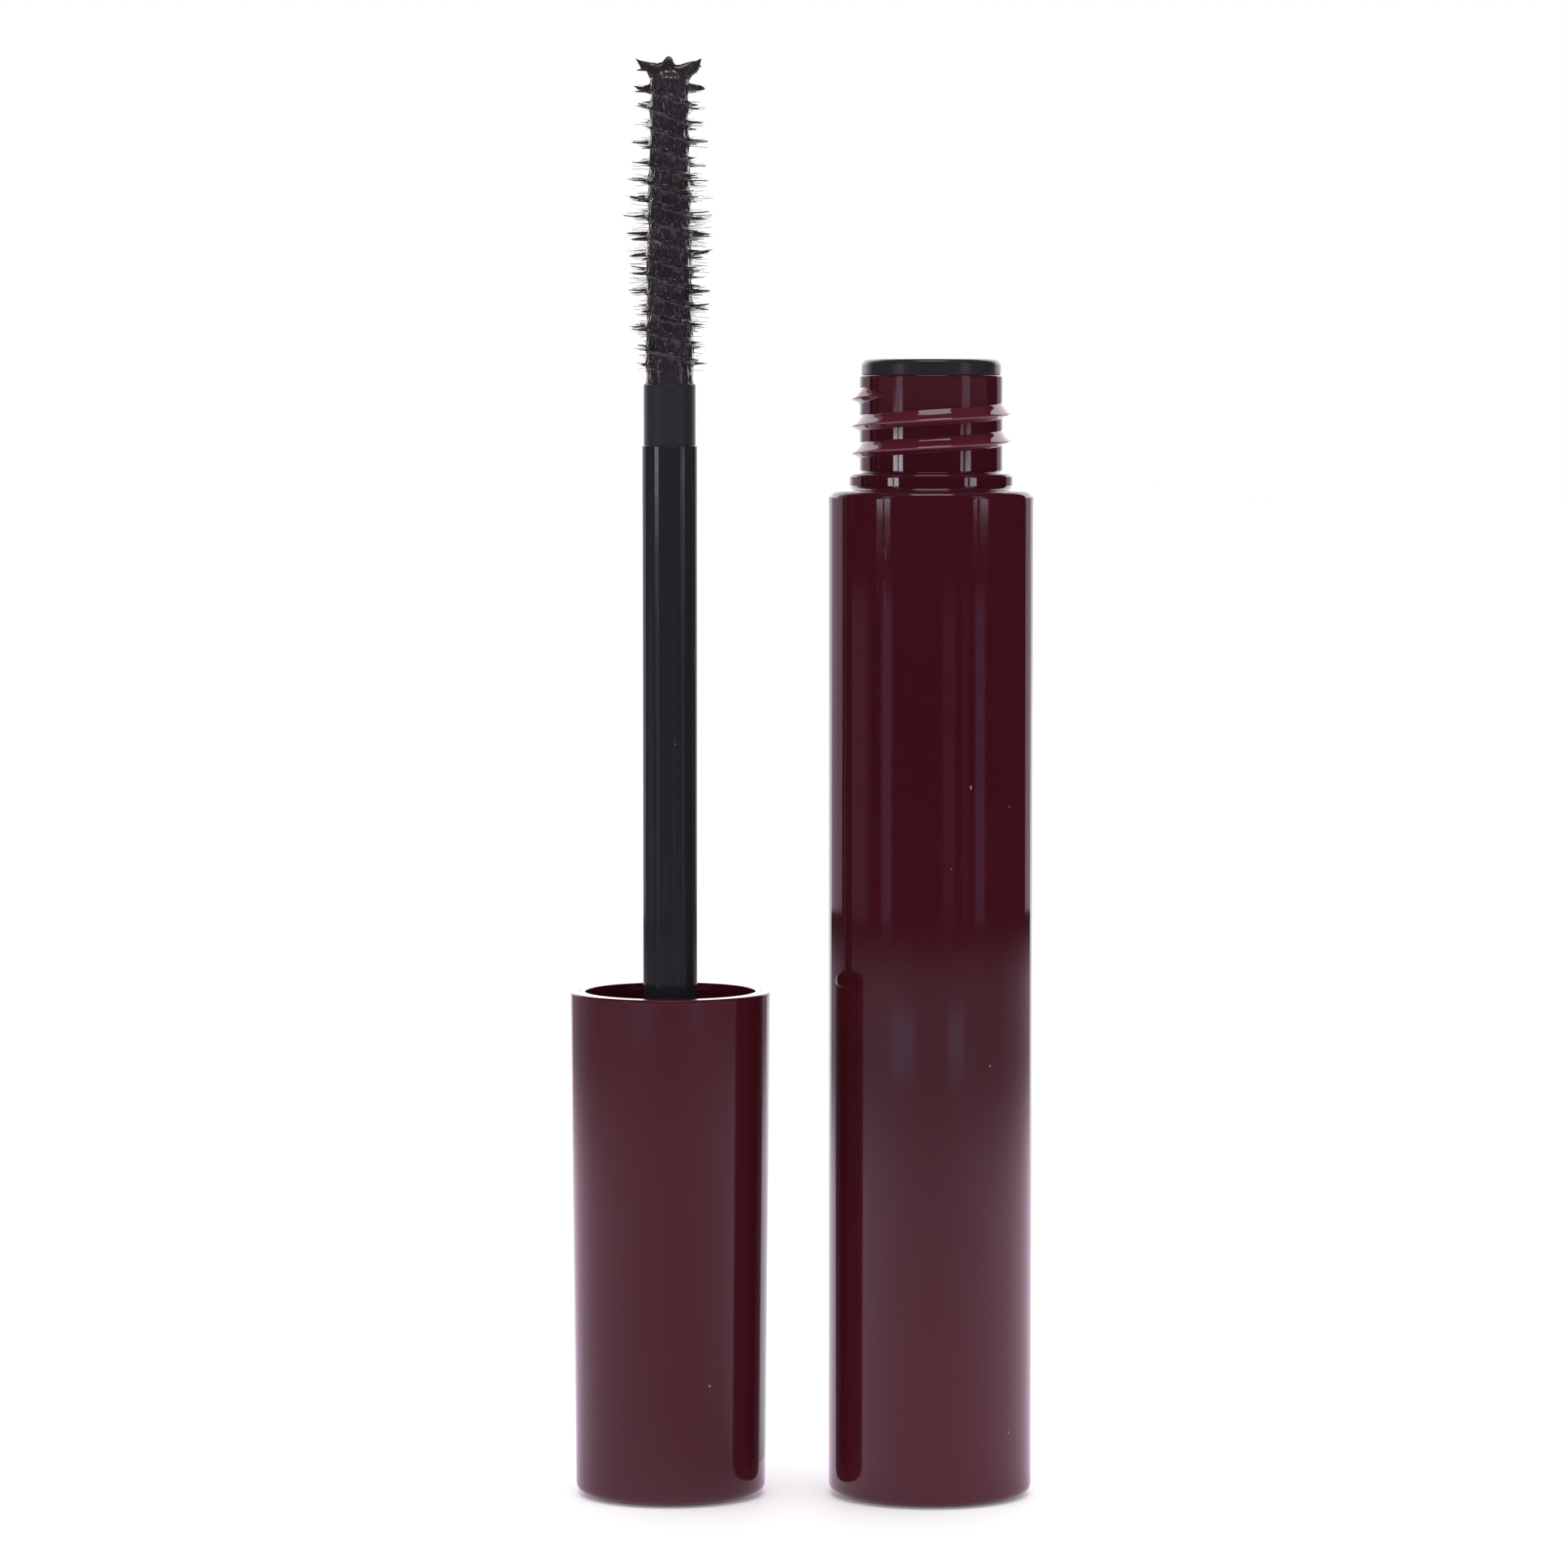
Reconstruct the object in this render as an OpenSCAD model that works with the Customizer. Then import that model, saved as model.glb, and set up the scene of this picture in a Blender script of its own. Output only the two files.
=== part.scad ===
// Mascara tube with its wand standing cap-down beside it.
// The open tube stands on the origin. The cap, rod and brush stand to its -X side.
// Millimetres, +Z up.

/* [Tube body] */
// Outside diameter of the tube
tube_d = 16.6; // [15.6:0.1:18]
// Height from the base to the shoulder
tube_h = 82; // [70:0.5:100]
// Diameter of the cavity that holds the mascara
tube_bore = 13.4; // [13:0.1:13.8]
// Thickness of the base
tube_floor = 2.2; // [1.5:0.1:4]
// Thickness of the wall between the cavity and the shoulder
shoulder_t = 2.2; // [1.5:0.1:3]
// Rounding of the bottom edge
base_round = 0.9; // [0.3:0.1:1.4]
// Rounding of the shoulder edge
shoulder_round = 0.6; // [0.3:0.1:1]

/* [Neck and thread] */
// Diameter of the neck under the thread
neck_d = 11.55; // [11.3:0.05:11.8]
// Height of the neck above the shoulder
neck_h = 9.3; // [9:0.1:10]
// Diameter of the bore that the wiper plugs into
neck_bore = 9.2; // [8.8:0.1:9.4]
// Diameter over the thread
thread_d = 12.95; // [12.7:0.05:13.1]
// Rise of the thread in one turn
thread_pitch = 2.2; // [2:0.1:2.4]
// Turns of thread on the neck
thread_turns = 2.28; // [1.5:0.01:2.4]
// Diameter of the bead under the thread
bead_d = 13.2; // [12.6:0.1:13.5]
// Thickness of the bead
bead_h = 1.05; // [0.8:0.05:1.2]

/* [Wiper] */
// Diameter of the flange that rests on the neck
wiper_flange_d = 11.3; // [10.6:0.1:11.5]
// Thickness of the flange
wiper_flange_h = 1.3; // [0.8:0.1:1.6]
// Diameter of the funnel at its mouth
funnel_d = 7.6; // [6.6:0.1:8]
// Diameter of the orifice that wipes the rod
orifice_d = 4.56; // [4.5:0.02:4.6]
// Length of the straight wiping land
orifice_l = 1.5; // [1:0.1:2]

/* [Cap] */
// Outside diameter at the open rim
cap_rim_d = 16.3; // [16.1:0.1:17]
// Outside diameter at the closed end
cap_end_d = 15.5; // [15.4:0.1:16]
// Height of the cap
cap_h = 41.2; // [39:0.1:44]
// Diameter of the mouth inside the rim
mouth_d = 13.9; // [13.8:0.05:14]
// Rounding of the closed end
cap_round = 0.9; // [0.3:0.1:1.4]
// Distance between the tube's axis and the wand's axis
spacing = 21.2; // [18:0.1:40]

/* [Wand] */
// Diameter of the rod
rod_d = 4.45; // [4.3:0.05:4.45]
// Height of the rod's glossy part above the cap's closed end
rod_gloss_top = 85.6; // [80:0.1:88]
// Height of the rod's end
rod_top = 90.6; // [90:0.1:92]
// Diameter of the narrower end of the rod
rod_tip_d = 4.2; // [3.8:0.05:4.25]

/* [Brush] */
// Height of the brush's tip above the cap's closed end
brush_top = 117; // [112:0.5:120]
// Greatest diameter over the bristles
brush_d = 7.5; // [6:0.1:8.4]
// Rise of the bristles in one turn
brush_lead = 2.966; // [2.4:0.002:4]
// Diameter of each of the two wires
wire_d = 0.54; // [0.4:0.02:0.56]
// Diameter of the mascara held round the wires
load_d = 3.76; // [3:0.02:4]

/* [Fineness] */
// Steps in one turn of the tube's and the cap's threads
thread_steps = 36; // [24:4:48]
// Steps in one turn of the bristles
bristle_steps = 20; // [16:2:24]
// Steps in one turn of the wires
wire_steps = 12; // [10:2:16]

/* [Hidden] */
$fn = 96;

burgundy = [0.27, 0.06, 0.09];
burgundy_dark = [0.20, 0.04, 0.07];
soft_black = [0.10, 0.09, 0.10];
rod_black = [0.06, 0.06, 0.07];
paste_black = [0.09, 0.085, 0.09];
washer_grey = [0.80, 0.80, 0.78];
steel = [0.60, 0.60, 0.62];

// Heights on the tube
cavity_top = tube_h - shoulder_t;
neck_top = tube_h + neck_h;
open_top = neck_top + wiper_flange_h;
groove_h = 0.35;
bead_z = tube_h + groove_h;
undercut_d = neck_d + 0.9;

// The tube's thread. Its crest height is given on the -X side of the top turn, 540 degrees along.
crest_high = tube_h + 7.34;
thread_a1 = 589;
thread_a0 = thread_a1 - 360 * thread_turns;
thread_z0 = crest_high - thread_pitch * 1.5;
thread_below = 0.45;
thread_above = 0.85;
thread_land = 0.08;
thread_fade = 42;
// How deep a ridge's foot is sunk into its wall
sink = 0.25;

// Wiper
plug_bottom = cavity_top;
plug_straight = tube_h + 1.5;
plug_tip_d = 6.2;
funnel_straight = 2;

// Mascara left in the tube, and the channel that the brush keeps open in it
fill_h = tube_h - 24 - tube_floor;
channel_floor = tube_floor + 2.4;
channel_d = brush_d + 0.9;
hollow_z = tube_h - 30;
hollow_h = 8;
hollow_d = tube_bore - 0.6;

// Inside of the cap. Heights are measured from its closed end.
rim_round = 0.25;
cap_wall_end = 1.3;
shell_bore = 14.9;
shell_deep_bore = 13.2;
insert_d = 14.85;
insert_bottom = 18.2;
insert_gap = 0.2;
ceiling = 29.9;
ceiling_t = 1.6;
lead_in = 1.6;
thread_bore = thread_d + 0.2;
inner_crest_d = neck_d + 0.3;
boss_d = 8.4;
boss_bottom = 17.4;
rib_t = 0.8;
rib_inset = 0.4;

// The cap's thread. When closed, heights in the tube and in the cap add up to closed_sum,
// and the cap's ridge lies below the tube's by ridge_gap.
closed_sum = cap_h + tube_h + 0.15;
ridge_gap = 1.3;
inner_ridge_z = closed_sum - crest_high - ridge_gap + thread_pitch;
inner_a0 = -300;
inner_a1 = 340;
inner_flank = 0.62;
inner_land = 0.35;
inner_fade = 40;

// Seal washer
washer_t = 0.8;
washer_lift = 0.05;

// Rod
head_d = 6.2;
head_h = 1.7;
stake_d = 1.24;
stake_depth = 11;
stake_play = 0.4;

// Brush
fin_zero = rod_top + 1.62;
fin_bottom = rod_top + 0.9;
fin_top = brush_top - 0.6;
wire_offset = 0.36;
wire_end = brush_top - 0.15;
wire_facets = 8;
wire_start = rod_top - stake_depth + stake_play;
load_bore_r = wire_offset + wire_d / 2 + 0.02;

// Angle of the bristles at a height
function fin_angle(z) = -(z - fin_zero) / brush_lead * 360;

// Radius over the bristles at a height, as a share of the greatest
function barrel(z) = brush_d / 2 * lookup((z - rod_top) / (brush_top - rod_top), [
    [0.03, 0.74], [0.12, 0.82], [0.23, 0.92], [0.36, 0.97], [0.44, 1.00],
    [0.57, 1.00], [0.66, 0.93], [0.80, 0.85], [0.92, 0.76], [1.00, 0.66]]);

function clamp01(x) = min(1, max(0.03, x));

// ---------- shared shapes ----------

// Half section of a round bar with rounded bottom and top edges
module half_bar(r, h, low, high) {
    square([r - max(low, high), h]);
    translate([0, low])
        square([r, h - low - high]);
    translate([r - low, low])
        circle(low);
    translate([r - high, h - high])
        circle(high);
    if (low > high)
        translate([r - low, low])
            square([low - high, h - low]);
    if (high > low)
        translate([r - high, 0])
            square([high - low, h - high]);
}

// Round bar with rounded edges
module round_bar(r, h, low, high) {
    rotate_extrude()
        half_bar(r, h, low, high);
}

// A screw ridge of four-cornered section, faded out at both ends.
// The section runs from the wall radius to the crest radius, and outward says which is larger.
module screw_ridge(r_wall, r_crest, below, above, land, lead, a0, a1, z_at_0, fade, per_turn) {
    count = ceil((a1 - a0) / 360 * per_turn);
    outward = r_crest > r_wall;
    function tall(a) = clamp01(min((a - a0) / fade, (a1 - a) / fade));
    function rise(a) = z_at_0 + lead * a / 360;
    function crest(a) = r_wall + (r_crest - r_wall) * tall(a);
    sections = [for (i = [0:count]) let (a = a0 + (a1 - a0) * i / count, k = tall(a))
        [[r_wall, rise(a) - below * k - 0.02, a], [crest(a), rise(a) - land / 2, a],
         [crest(a), rise(a) + land / 2, a], [r_wall, rise(a) + above * k + 0.02, a]]];
    points = [for (s = sections) for (p = s) [p[0] * cos(p[2]), p[0] * sin(p[2]), p[1]]];
    sides = [for (i = [0:count - 1]) for (j = [0:3]) let (k = (j + 1) % 4)
        [[4 * i + j, 4 * i + k, 4 * i + 4 + k], [4 * i + j, 4 * i + 4 + k, 4 * i + 4 + j]]];
    flat = [for (pair = sides) for (t = pair) t];
    ends = [[0, 3, 2, 1], [4 * count, 4 * count + 1, 4 * count + 2, 4 * count + 3]];
    faces = concat(flat, ends);
    turned = outward ? faces : [for (f = faces) [for (i = [len(f) - 1:-1:0]) f[i]]];
    polyhedron(points, turned, convexity = 6);
}

// A round wire wound round the Z axis, left-handed
module wound_wire(r_path, r_wire, z0, z1, a_start, lead, per_turn, sides) {
    count = ceil((z1 - z0) / lead * per_turn);
    points = [for (i = [0:count])
        let (z = z0 + (z1 - z0) * i / count, a = a_start - (z - z0) / lead * 360)
        for (j = [0:sides - 1])
            let (b = 360 * j / sides, u = r_path + r_wire * cos(b), v = r_wire * sin(b))
            [u * cos(a) - v * sin(a), u * sin(a) + v * cos(a), z]];
    shell = [for (i = [0:count - 1]) for (j = [0:sides - 1]) let (k = (j + 1) % sides)
        for (t = [[sides * i + j, sides * i + k, sides * i + sides + k],
                  [sides * i + j, sides * i + sides + k, sides * i + sides + j]]) t];
    low = [for (j = [sides - 1:-1:0]) j];
    high = [for (j = [0:sides - 1]) sides * count + j];
    polyhedron(points, concat(shell, [low, high]), convexity = 6);
}

// ---------- the tube and what stays in it ----------

module bottle() {
    color(burgundy)
        difference() {
            union() {
                round_bar(tube_d / 2, tube_h, base_round, shoulder_round);
                cylinder(d = neck_d, h = neck_top);
                cylinder(d = undercut_d, h = bead_z + 0.2);
                translate([0, 0, bead_z])
                    round_bar(bead_d / 2, bead_h, 0.3, 0.35);
                screw_ridge(neck_d / 2 - sink, thread_d / 2, thread_below, thread_above,
                            thread_land, thread_pitch, thread_a0, thread_a1, thread_z0,
                            thread_fade, thread_steps);
            }
            translate([0, 0, tube_floor])
                cylinder(d = tube_bore, h = cavity_top - tube_floor);
            translate([0, 0, cavity_top - 1])
                cylinder(d = neck_bore, h = neck_top - cavity_top + 2);
        }
}

module wiper() {
    color(soft_black)
        difference() {
            union() {
                translate([0, 0, neck_top])
                    round_bar(wiper_flange_d / 2, wiper_flange_h, 0.1, 0.45);
                translate([0, 0, plug_straight])
                    cylinder(d = neck_bore, h = neck_top - plug_straight + 0.5);
                translate([0, 0, plug_bottom])
                    cylinder(d1 = plug_tip_d, d2 = neck_bore, h = plug_straight - plug_bottom);
            }
            translate([0, 0, plug_bottom - 1])
                cylinder(d = orifice_d, h = open_top - plug_bottom + 2);
            translate([0, 0, plug_bottom + orifice_l])
                cylinder(d1 = orifice_d, d2 = funnel_d,
                         h = neck_top - funnel_straight - plug_bottom - orifice_l);
            translate([0, 0, neck_top - funnel_straight])
                cylinder(d = funnel_d, h = wiper_flange_h + 3);
        }
}

module mascara_fill() {
    color(paste_black)
        difference() {
            translate([0, 0, tube_floor])
                cylinder(d = tube_bore, h = fill_h);
            translate([0, 0, channel_floor])
                cylinder(d = channel_d, h = tube_h);
            translate([0, 0, hollow_z])
                cylinder(d1 = channel_d, d2 = hollow_d, h = hollow_h);
        }
}

// ---------- the cap ----------

module outer_cap() {
    color(burgundy)
        translate([-spacing, 0, 0])
            difference() {
                rotate_extrude()
                    union() {
                        polygon([[0, 0], [cap_end_d / 2 - cap_round, 0],
                                 [cap_end_d / 2 - cap_round, cap_round],
                                 [cap_end_d / 2, cap_round],
                                 [cap_rim_d / 2, cap_h - rim_round],
                                 [cap_rim_d / 2 - rim_round, cap_h - rim_round],
                                 [cap_rim_d / 2 - rim_round, cap_h], [0, cap_h]]);
                        translate([cap_end_d / 2 - cap_round, cap_round])
                            circle(cap_round);
                        translate([cap_rim_d / 2 - rim_round, cap_h - rim_round])
                            circle(rim_round);
                    }
                translate([0, 0, cap_wall_end])
                    cylinder(d = shell_deep_bore, h = cap_h);
                translate([0, 0, insert_bottom - insert_gap])
                    cylinder(d = shell_bore, h = cap_h);
            }
}

module inner_cap() {
    color(burgundy_dark)
        translate([-spacing, 0, 0])
            difference() {
                union() {
                    difference() {
                        translate([0, 0, insert_bottom])
                            cylinder(d = insert_d, h = cap_h - insert_bottom);
                        translate([0, 0, insert_bottom - 1])
                            cylinder(d = thread_bore, h = ceiling - ceiling_t - insert_bottom + 1);
                        translate([0, 0, ceiling])
                            cylinder(d = thread_bore, h = cap_h);
                        translate([0, 0, cap_h - lead_in])
                            cylinder(d = mouth_d, h = cap_h);
                    }
                    translate([0, 0, boss_bottom])
                        cylinder(d = boss_d, h = ceiling - boss_bottom);
                    for (a = [0:60:179])
                        rotate([0, 0, a])
                            translate([-insert_d / 2 + rib_inset, -rib_t / 2,
                                       insert_bottom + rib_t])
                                cube([insert_d - 2 * rib_inset, rib_t,
                                      ceiling - insert_bottom - 2 * rib_t]);
                    screw_ridge(thread_bore / 2 + sink, inner_crest_d / 2, inner_flank,
                                inner_flank, inner_land, thread_pitch, inner_a0, inner_a1,
                                inner_ridge_z, inner_fade, thread_steps);
                }
                translate([0, 0, boss_bottom - 1])
                    cylinder(d = rod_d, h = ceiling);
            }
}

module seal_washer() {
    color(washer_grey)
        translate([-spacing, 0, ceiling + washer_lift])
            difference() {
                cylinder(d = neck_d + 0.05, h = washer_t);
                translate([0, 0, -1])
                    cylinder(d = rod_d + 0.15, h = 3);
            }
}

// ---------- the rod and the brush ----------

module wand_rod() {
    color(rod_black)
        translate([-spacing, 0, 0])
            difference() {
                union() {
                    translate([0, 0, boss_bottom - head_h])
                        round_bar(head_d / 2, head_h, 0.5, 0.1);
                    translate([0, 0, boss_bottom - 0.5])
                        cylinder(d = rod_d, h = rod_gloss_top - boss_bottom + 0.5);
                    translate([0, 0, rod_gloss_top - 1])
                        round_bar(rod_tip_d / 2, rod_top - rod_gloss_top + 1, 0.1, 0.25);
                }
                translate([0, 0, rod_top - stake_depth])
                    cylinder(d = stake_d, h = stake_depth + 1);
            }
}

module brush_wire() {
    color(steel)
        translate([-spacing, 0, 0])
            for (side = [0, 180])
                wound_wire(wire_offset, wire_d / 2, wire_start, wire_end,
                           90 + side + fin_angle(wire_start), brush_lead, wire_steps,
                           wire_facets);
}

module brush_bristles() {
    count = ceil((fin_top - fin_bottom) / brush_lead * bristle_steps);
    // Polar stations of one half of the section: share of the radius, and angle off the middle
    half_fin = [[0.19, -13], [0.62, -19], [1, -17], [1, 17], [0.62, 19], [0.19, 13]];
    waist = 0.088;
    points = [for (i = [0:count])
        let (z = fin_bottom + (fin_top - fin_bottom) * i / count, a = fin_angle(z),
             r = barrel(z))
        for (p = concat([for (q = half_fin) [q[0] * r, a + q[1]]], [[waist, a + 90]],
                        [for (q = half_fin) [q[0] * r, a + 180 + q[1]]],
                        [[waist, a + 270]]))
            [p[0] * cos(p[1]), p[0] * sin(p[1]), z]];
    n = 14;
    shell = [for (i = [0:count - 1]) for (j = [0:n - 1]) let (k = (j + 1) % n)
        for (t = [[n * i + j, n * i + k, n * i + n + j],
                  [n * i + k, n * i + n + k, n * i + n + j]]) t];
    low = [for (j = [n - 1:-1:0]) j];
    high = [for (j = [0:n - 1]) n * count + j];
    color(soft_black)
        translate([-spacing, 0, 0])
            polyhedron(points, concat(shell, [low, high]), convexity = 10);
}

module brush_load() {
    color(paste_black)
        translate([-spacing, 0, 0])
            difference() {
                rotate_extrude()
                    polygon([[0, rod_top], [rod_tip_d / 2 - 0.15, rod_top],
                             [rod_tip_d / 2 - 0.25, rod_top + 0.9],
                             [load_d / 2 + 0.12, rod_top + 1.9],
                             [load_d / 2, rod_top + 8],
                             [load_d / 2, brush_top - 9],
                             [load_d / 2 - 0.13, brush_top - 3],
                             [load_d / 2 - 0.4, brush_top - 1],
                             [load_d / 2 - 1.1, brush_top - 0.1],
                             [0, brush_top]]);
                translate([0, 0, rod_top - 1])
                    cylinder(r = load_bore_r, h = brush_top - rod_top + 0.7);
            }
}

bottle();
wiper();
mascara_fill();
outer_cap();
inner_cap();
seal_washer();
wand_rod();
brush_wire();
brush_bristles();
brush_load();
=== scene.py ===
# %% [markdown]
# # A mascara tube with its wand
#
# The tube stands open with its screw neck and wiper. The cap stands upside down beside it, with the
# rod and the loaded brush rising from it. Everything is drawn in metres, in the same frame as the
# engineering model: the origin is the centre of the tube's base, and Z points up.

# %% Load the frame
import math
from functools import partial

import bmesh
import bpy
from mathutils import Matrix, Vector, noise


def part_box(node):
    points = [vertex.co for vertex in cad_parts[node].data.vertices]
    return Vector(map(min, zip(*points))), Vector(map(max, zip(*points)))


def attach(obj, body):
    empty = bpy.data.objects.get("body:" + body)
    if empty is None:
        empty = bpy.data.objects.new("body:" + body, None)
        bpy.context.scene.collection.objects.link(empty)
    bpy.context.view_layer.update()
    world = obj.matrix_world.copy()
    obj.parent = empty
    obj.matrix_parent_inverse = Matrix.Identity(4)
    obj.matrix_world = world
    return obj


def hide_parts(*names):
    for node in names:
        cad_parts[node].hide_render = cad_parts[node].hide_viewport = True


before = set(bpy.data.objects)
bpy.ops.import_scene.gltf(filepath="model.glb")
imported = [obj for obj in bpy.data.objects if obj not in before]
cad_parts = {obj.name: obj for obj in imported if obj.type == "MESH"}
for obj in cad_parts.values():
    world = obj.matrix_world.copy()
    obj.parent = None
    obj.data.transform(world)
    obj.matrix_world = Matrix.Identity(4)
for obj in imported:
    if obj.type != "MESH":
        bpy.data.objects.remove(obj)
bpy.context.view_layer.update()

MM = 0.001
TURN = 2 * math.pi

# %% [markdown]
# ## Sizes
#
# The sizes come from the engineering model's boxes wherever a box can tell them. The few that a box
# can't tell, such as the depth of a fillet, are named here.

# %% Sizes of the tube and the wand
tube_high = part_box("bottle")[1]
wiper_low, wiper_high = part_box("wiper")
cap_low, cap_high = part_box("outer_cap")
rod_low, rod_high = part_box("wand_rod")
brush_low, brush_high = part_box("brush_bristles")
load_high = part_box("brush_load")[1]

WAND_X = (cap_low[0] + cap_high[0]) / 2
TUBE_R = 8.3 * MM
NECK_R = 5.775 * MM
NECK_TOP = tube_high[2]
SHOULDER = NECK_TOP - 9.3 * MM
CAP_TOP = cap_high[2]
CAP_RIM_R = (cap_high[0] - cap_low[0]) / 2
CAP_END_R = 7.75 * MM
ROD_R = 2.225 * MM
ROD_TIP_R = 2.1 * MM
ROD_TOP = rod_high[2]
ROD_GLOSS_TOP = ROD_TOP - 5 * MM
BRUSH_R = (brush_high[0] - brush_low[0]) / 2
BRUSH_TIP = load_high[2]
print("tube radius", round(TUBE_R / MM, 2), "wand axis at", round(WAND_X / MM, 2), "mm")

# %% [markdown]
# ## The camera
#
# A long lens half a metre away keeps the two upright pieces nearly parallel. The camera stands at
# the height of the open neck and looks slightly down, so that the cap's open rim shows as an ellipse.

# %% Camera
def in_scene(name, data):
    """A new object with the given data, placed in the scene."""
    thing = bpy.data.objects.new(name, data)
    bpy.context.collection.objects.link(thing)
    return thing


CAMERA_DISTANCE = 504 * MM
CAMERA_HEIGHT = 91 * MM
AIM = Vector((-11.93 * MM, 0, 58.09 * MM))
SENSOR_WIDTH = 36
LENS = 142.5

camera_data = bpy.data.cameras.new("camera")
camera_data.sensor_width = SENSOR_WIDTH
camera_data.lens = LENS
camera = in_scene("camera", camera_data)
camera.location = (AIM.x, -CAMERA_DISTANCE, CAMERA_HEIGHT)
camera.rotation_euler = (AIM - camera.location).to_track_quat("-Z", "Y").to_euler()
bpy.context.scene.camera = camera
looks_down = math.degrees(math.atan2(CAMERA_HEIGHT - AIM.z, CAMERA_DISTANCE))
print("camera looks down", round(looks_down, 2), "degrees")

# %% [markdown]
# ## Node helpers
#
# Materials and Geometry Nodes are both graphs, and a few helpers keep them readable. Wherever one
# takes an input, the input can be a plain value or another node's output.


# %% Helpers for node graphs
def connect(tree, sockets, values):
    """Gives sockets plain values, or links them to other nodes' outputs."""
    for key, value in values.items():
        if isinstance(value, bpy.types.NodeSocket):
            tree.links.new(value, sockets[key])
        else:
            sockets[key].default_value = value


def add(tree, kind, inputs=None, **settings):
    """Adds a node, sets its properties and fills its inputs."""
    node = tree.nodes.new(kind)
    for key, value in settings.items():
        setattr(node, key, value)
    connect(tree, node.inputs, inputs or {})
    return node


def step(tree, kind, inputs=None, **settings):
    """Adds a node and returns its first output, ready for the next one."""
    return add(tree, kind, inputs, **settings).outputs[0]


def maths(tree, operation, a, b=0.0, c=0.0, clamp=False):
    """One Math node's output."""
    return step(tree, "ShaderNodeMath", {0: a, 1: b, 2: c}, operation=operation, use_clamp=clamp)


def vector_maths(tree, operation, a, b):
    """One Vector Math node's output."""
    return step(tree, "ShaderNodeVectorMath", {0: a, 1: b}, operation=operation)


def ramp(tree, value, low, high, start=0.0, end=1.0, soft=False):
    """Turns a value that goes from low to high into one that goes from start to end."""
    curve = "SMOOTHSTEP" if soft else "LINEAR"
    ends = {"Value": value, "From Min": low, "From Max": high, "To Min": start, "To Max": end}
    return add(tree, "ShaderNodeMapRange", ends, interpolation_type=curve).outputs["Result"]


def clouds(tree, place, scale, detail, output="Fac", **more):
    """Soft noise over the given places, as a value or as a colour."""
    inputs = {"Vector": place, "Scale": scale, "Detail": detail, **more}
    return add(tree, "ShaderNodeTexNoise", inputs).outputs[output]


def own_place(tree):
    """Where a spot is, in the object's own coordinates."""
    return add(tree, "ShaderNodeTexCoord").outputs["Object"]


def height_of(tree, place):
    """How high a place is."""
    return add(tree, "ShaderNodeSeparateXYZ", {"Vector": place}).outputs["Z"]


def distance_out(tree, place):
    """How far a place is from the upright axis."""
    flat = vector_maths(tree, "MULTIPLY", place, (1.0, 1.0, 0.0))
    return add(tree, "ShaderNodeVectorMath", {0: flat}, operation="LENGTH").outputs["Value"]


def new_group(name, inputs, outputs, kind="ShaderNodeTree"):
    """A node group. A socket is given as its first value, or as the name of its type."""
    tree = bpy.data.node_groups.new(name, kind)
    for in_out, sockets in (("INPUT", inputs), ("OUTPUT", outputs)):
        for socket_name, value in sockets.items():
            typed = value if isinstance(value, str) else type(value).__name__.title()
            socket = tree.interface.new_socket(socket_name, in_out=in_out, socket_type="NodeSocket" + typed)
            if typed != value:
                socket.default_value = value
    return tree, tree.nodes.new("NodeGroupInput").outputs, tree.nodes.new("NodeGroupOutput").inputs


# %% [markdown]
# ## Shared surface effects
#
# Moulded plastic is never perfectly even. Fine grain makes the gloss vary, hairline scratches come
# from handling, and lint settles on anything black or dark. Each effect is a node group, built once
# and placed in every material that needs it with its own values.

# %% Node group: grain of moulded plastic
grain_group, put, out = new_group("moulded_grain", {"Scale": 400.0, "Low": 0.05, "High": 0.12},
                                  {"Roughness": "Float", "Height": "Float"})
cloud = clouds(grain_group, own_place(grain_group), put["Scale"], 5.0, Roughness=0.62)
spread = ramp(grain_group, cloud, 0.3, 0.7, put["Low"], put["High"])
connect(grain_group, out, {"Roughness": spread, "Height": cloud})
print("group made:", grain_group.name)

# %% Node group: lint and dust specks
dust_group, put, out = new_group("settled_lint", {"Scale": 900.0, "Size": 0.16, "Share": 0.04},
                                 {"Mask": "Float"})
place = own_place(dust_group)
bent = clouds(dust_group, place, 2600.0, 2.0, output="Color")
push = vector_maths(dust_group, "MULTIPLY", bent, (0.0005, 0.0005, 0.0005))
moved = vector_maths(dust_group, "ADD", place, push)
cells = add(dust_group, "ShaderNodeTexVoronoi", {"Vector": moved, "Scale": put["Scale"], "Randomness": 1.0})
near = maths(dust_group, "LESS_THAN", cells.outputs["Distance"], put["Size"])
chance = add(dust_group, "ShaderNodeSeparateColor", {"Color": cells.outputs["Color"]}).outputs["Red"]
chosen = maths(dust_group, "LESS_THAN", chance, put["Share"])
connect(dust_group, out, {"Mask": maths(dust_group, "MULTIPLY", near, chosen)})
print("group made:", dust_group.name)

# %% Node group: hairline scratches, drawn out along a piece
scratch_group, put, out = new_group("hairline_scratches", {"Scale": 60.0, "Stretch": 14.0, "Width": 0.012},
                                    {"Mask": "Float"})
place = own_place(scratch_group)
stretch = step(scratch_group, "ShaderNodeCombineXYZ", {"X": put["Stretch"], "Y": put["Stretch"], "Z": 1.0})
stretched = vector_maths(scratch_group, "MULTIPLY", place, stretch)
lines = clouds(scratch_group, stretched, put["Scale"], 3.0, Distortion=0.6)
off = maths(scratch_group, "ABSOLUTE", maths(scratch_group, "SUBTRACT", lines, 0.5))
thin = maths(scratch_group, "LESS_THAN", off, put["Width"])
some = maths(scratch_group, "GREATER_THAN", clouds(scratch_group, place, 90.0, 1.0), 0.6)
connect(scratch_group, out, {"Mask": maths(scratch_group, "MULTIPLY", thin, some)})
print("group made:", scratch_group.name)


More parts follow.
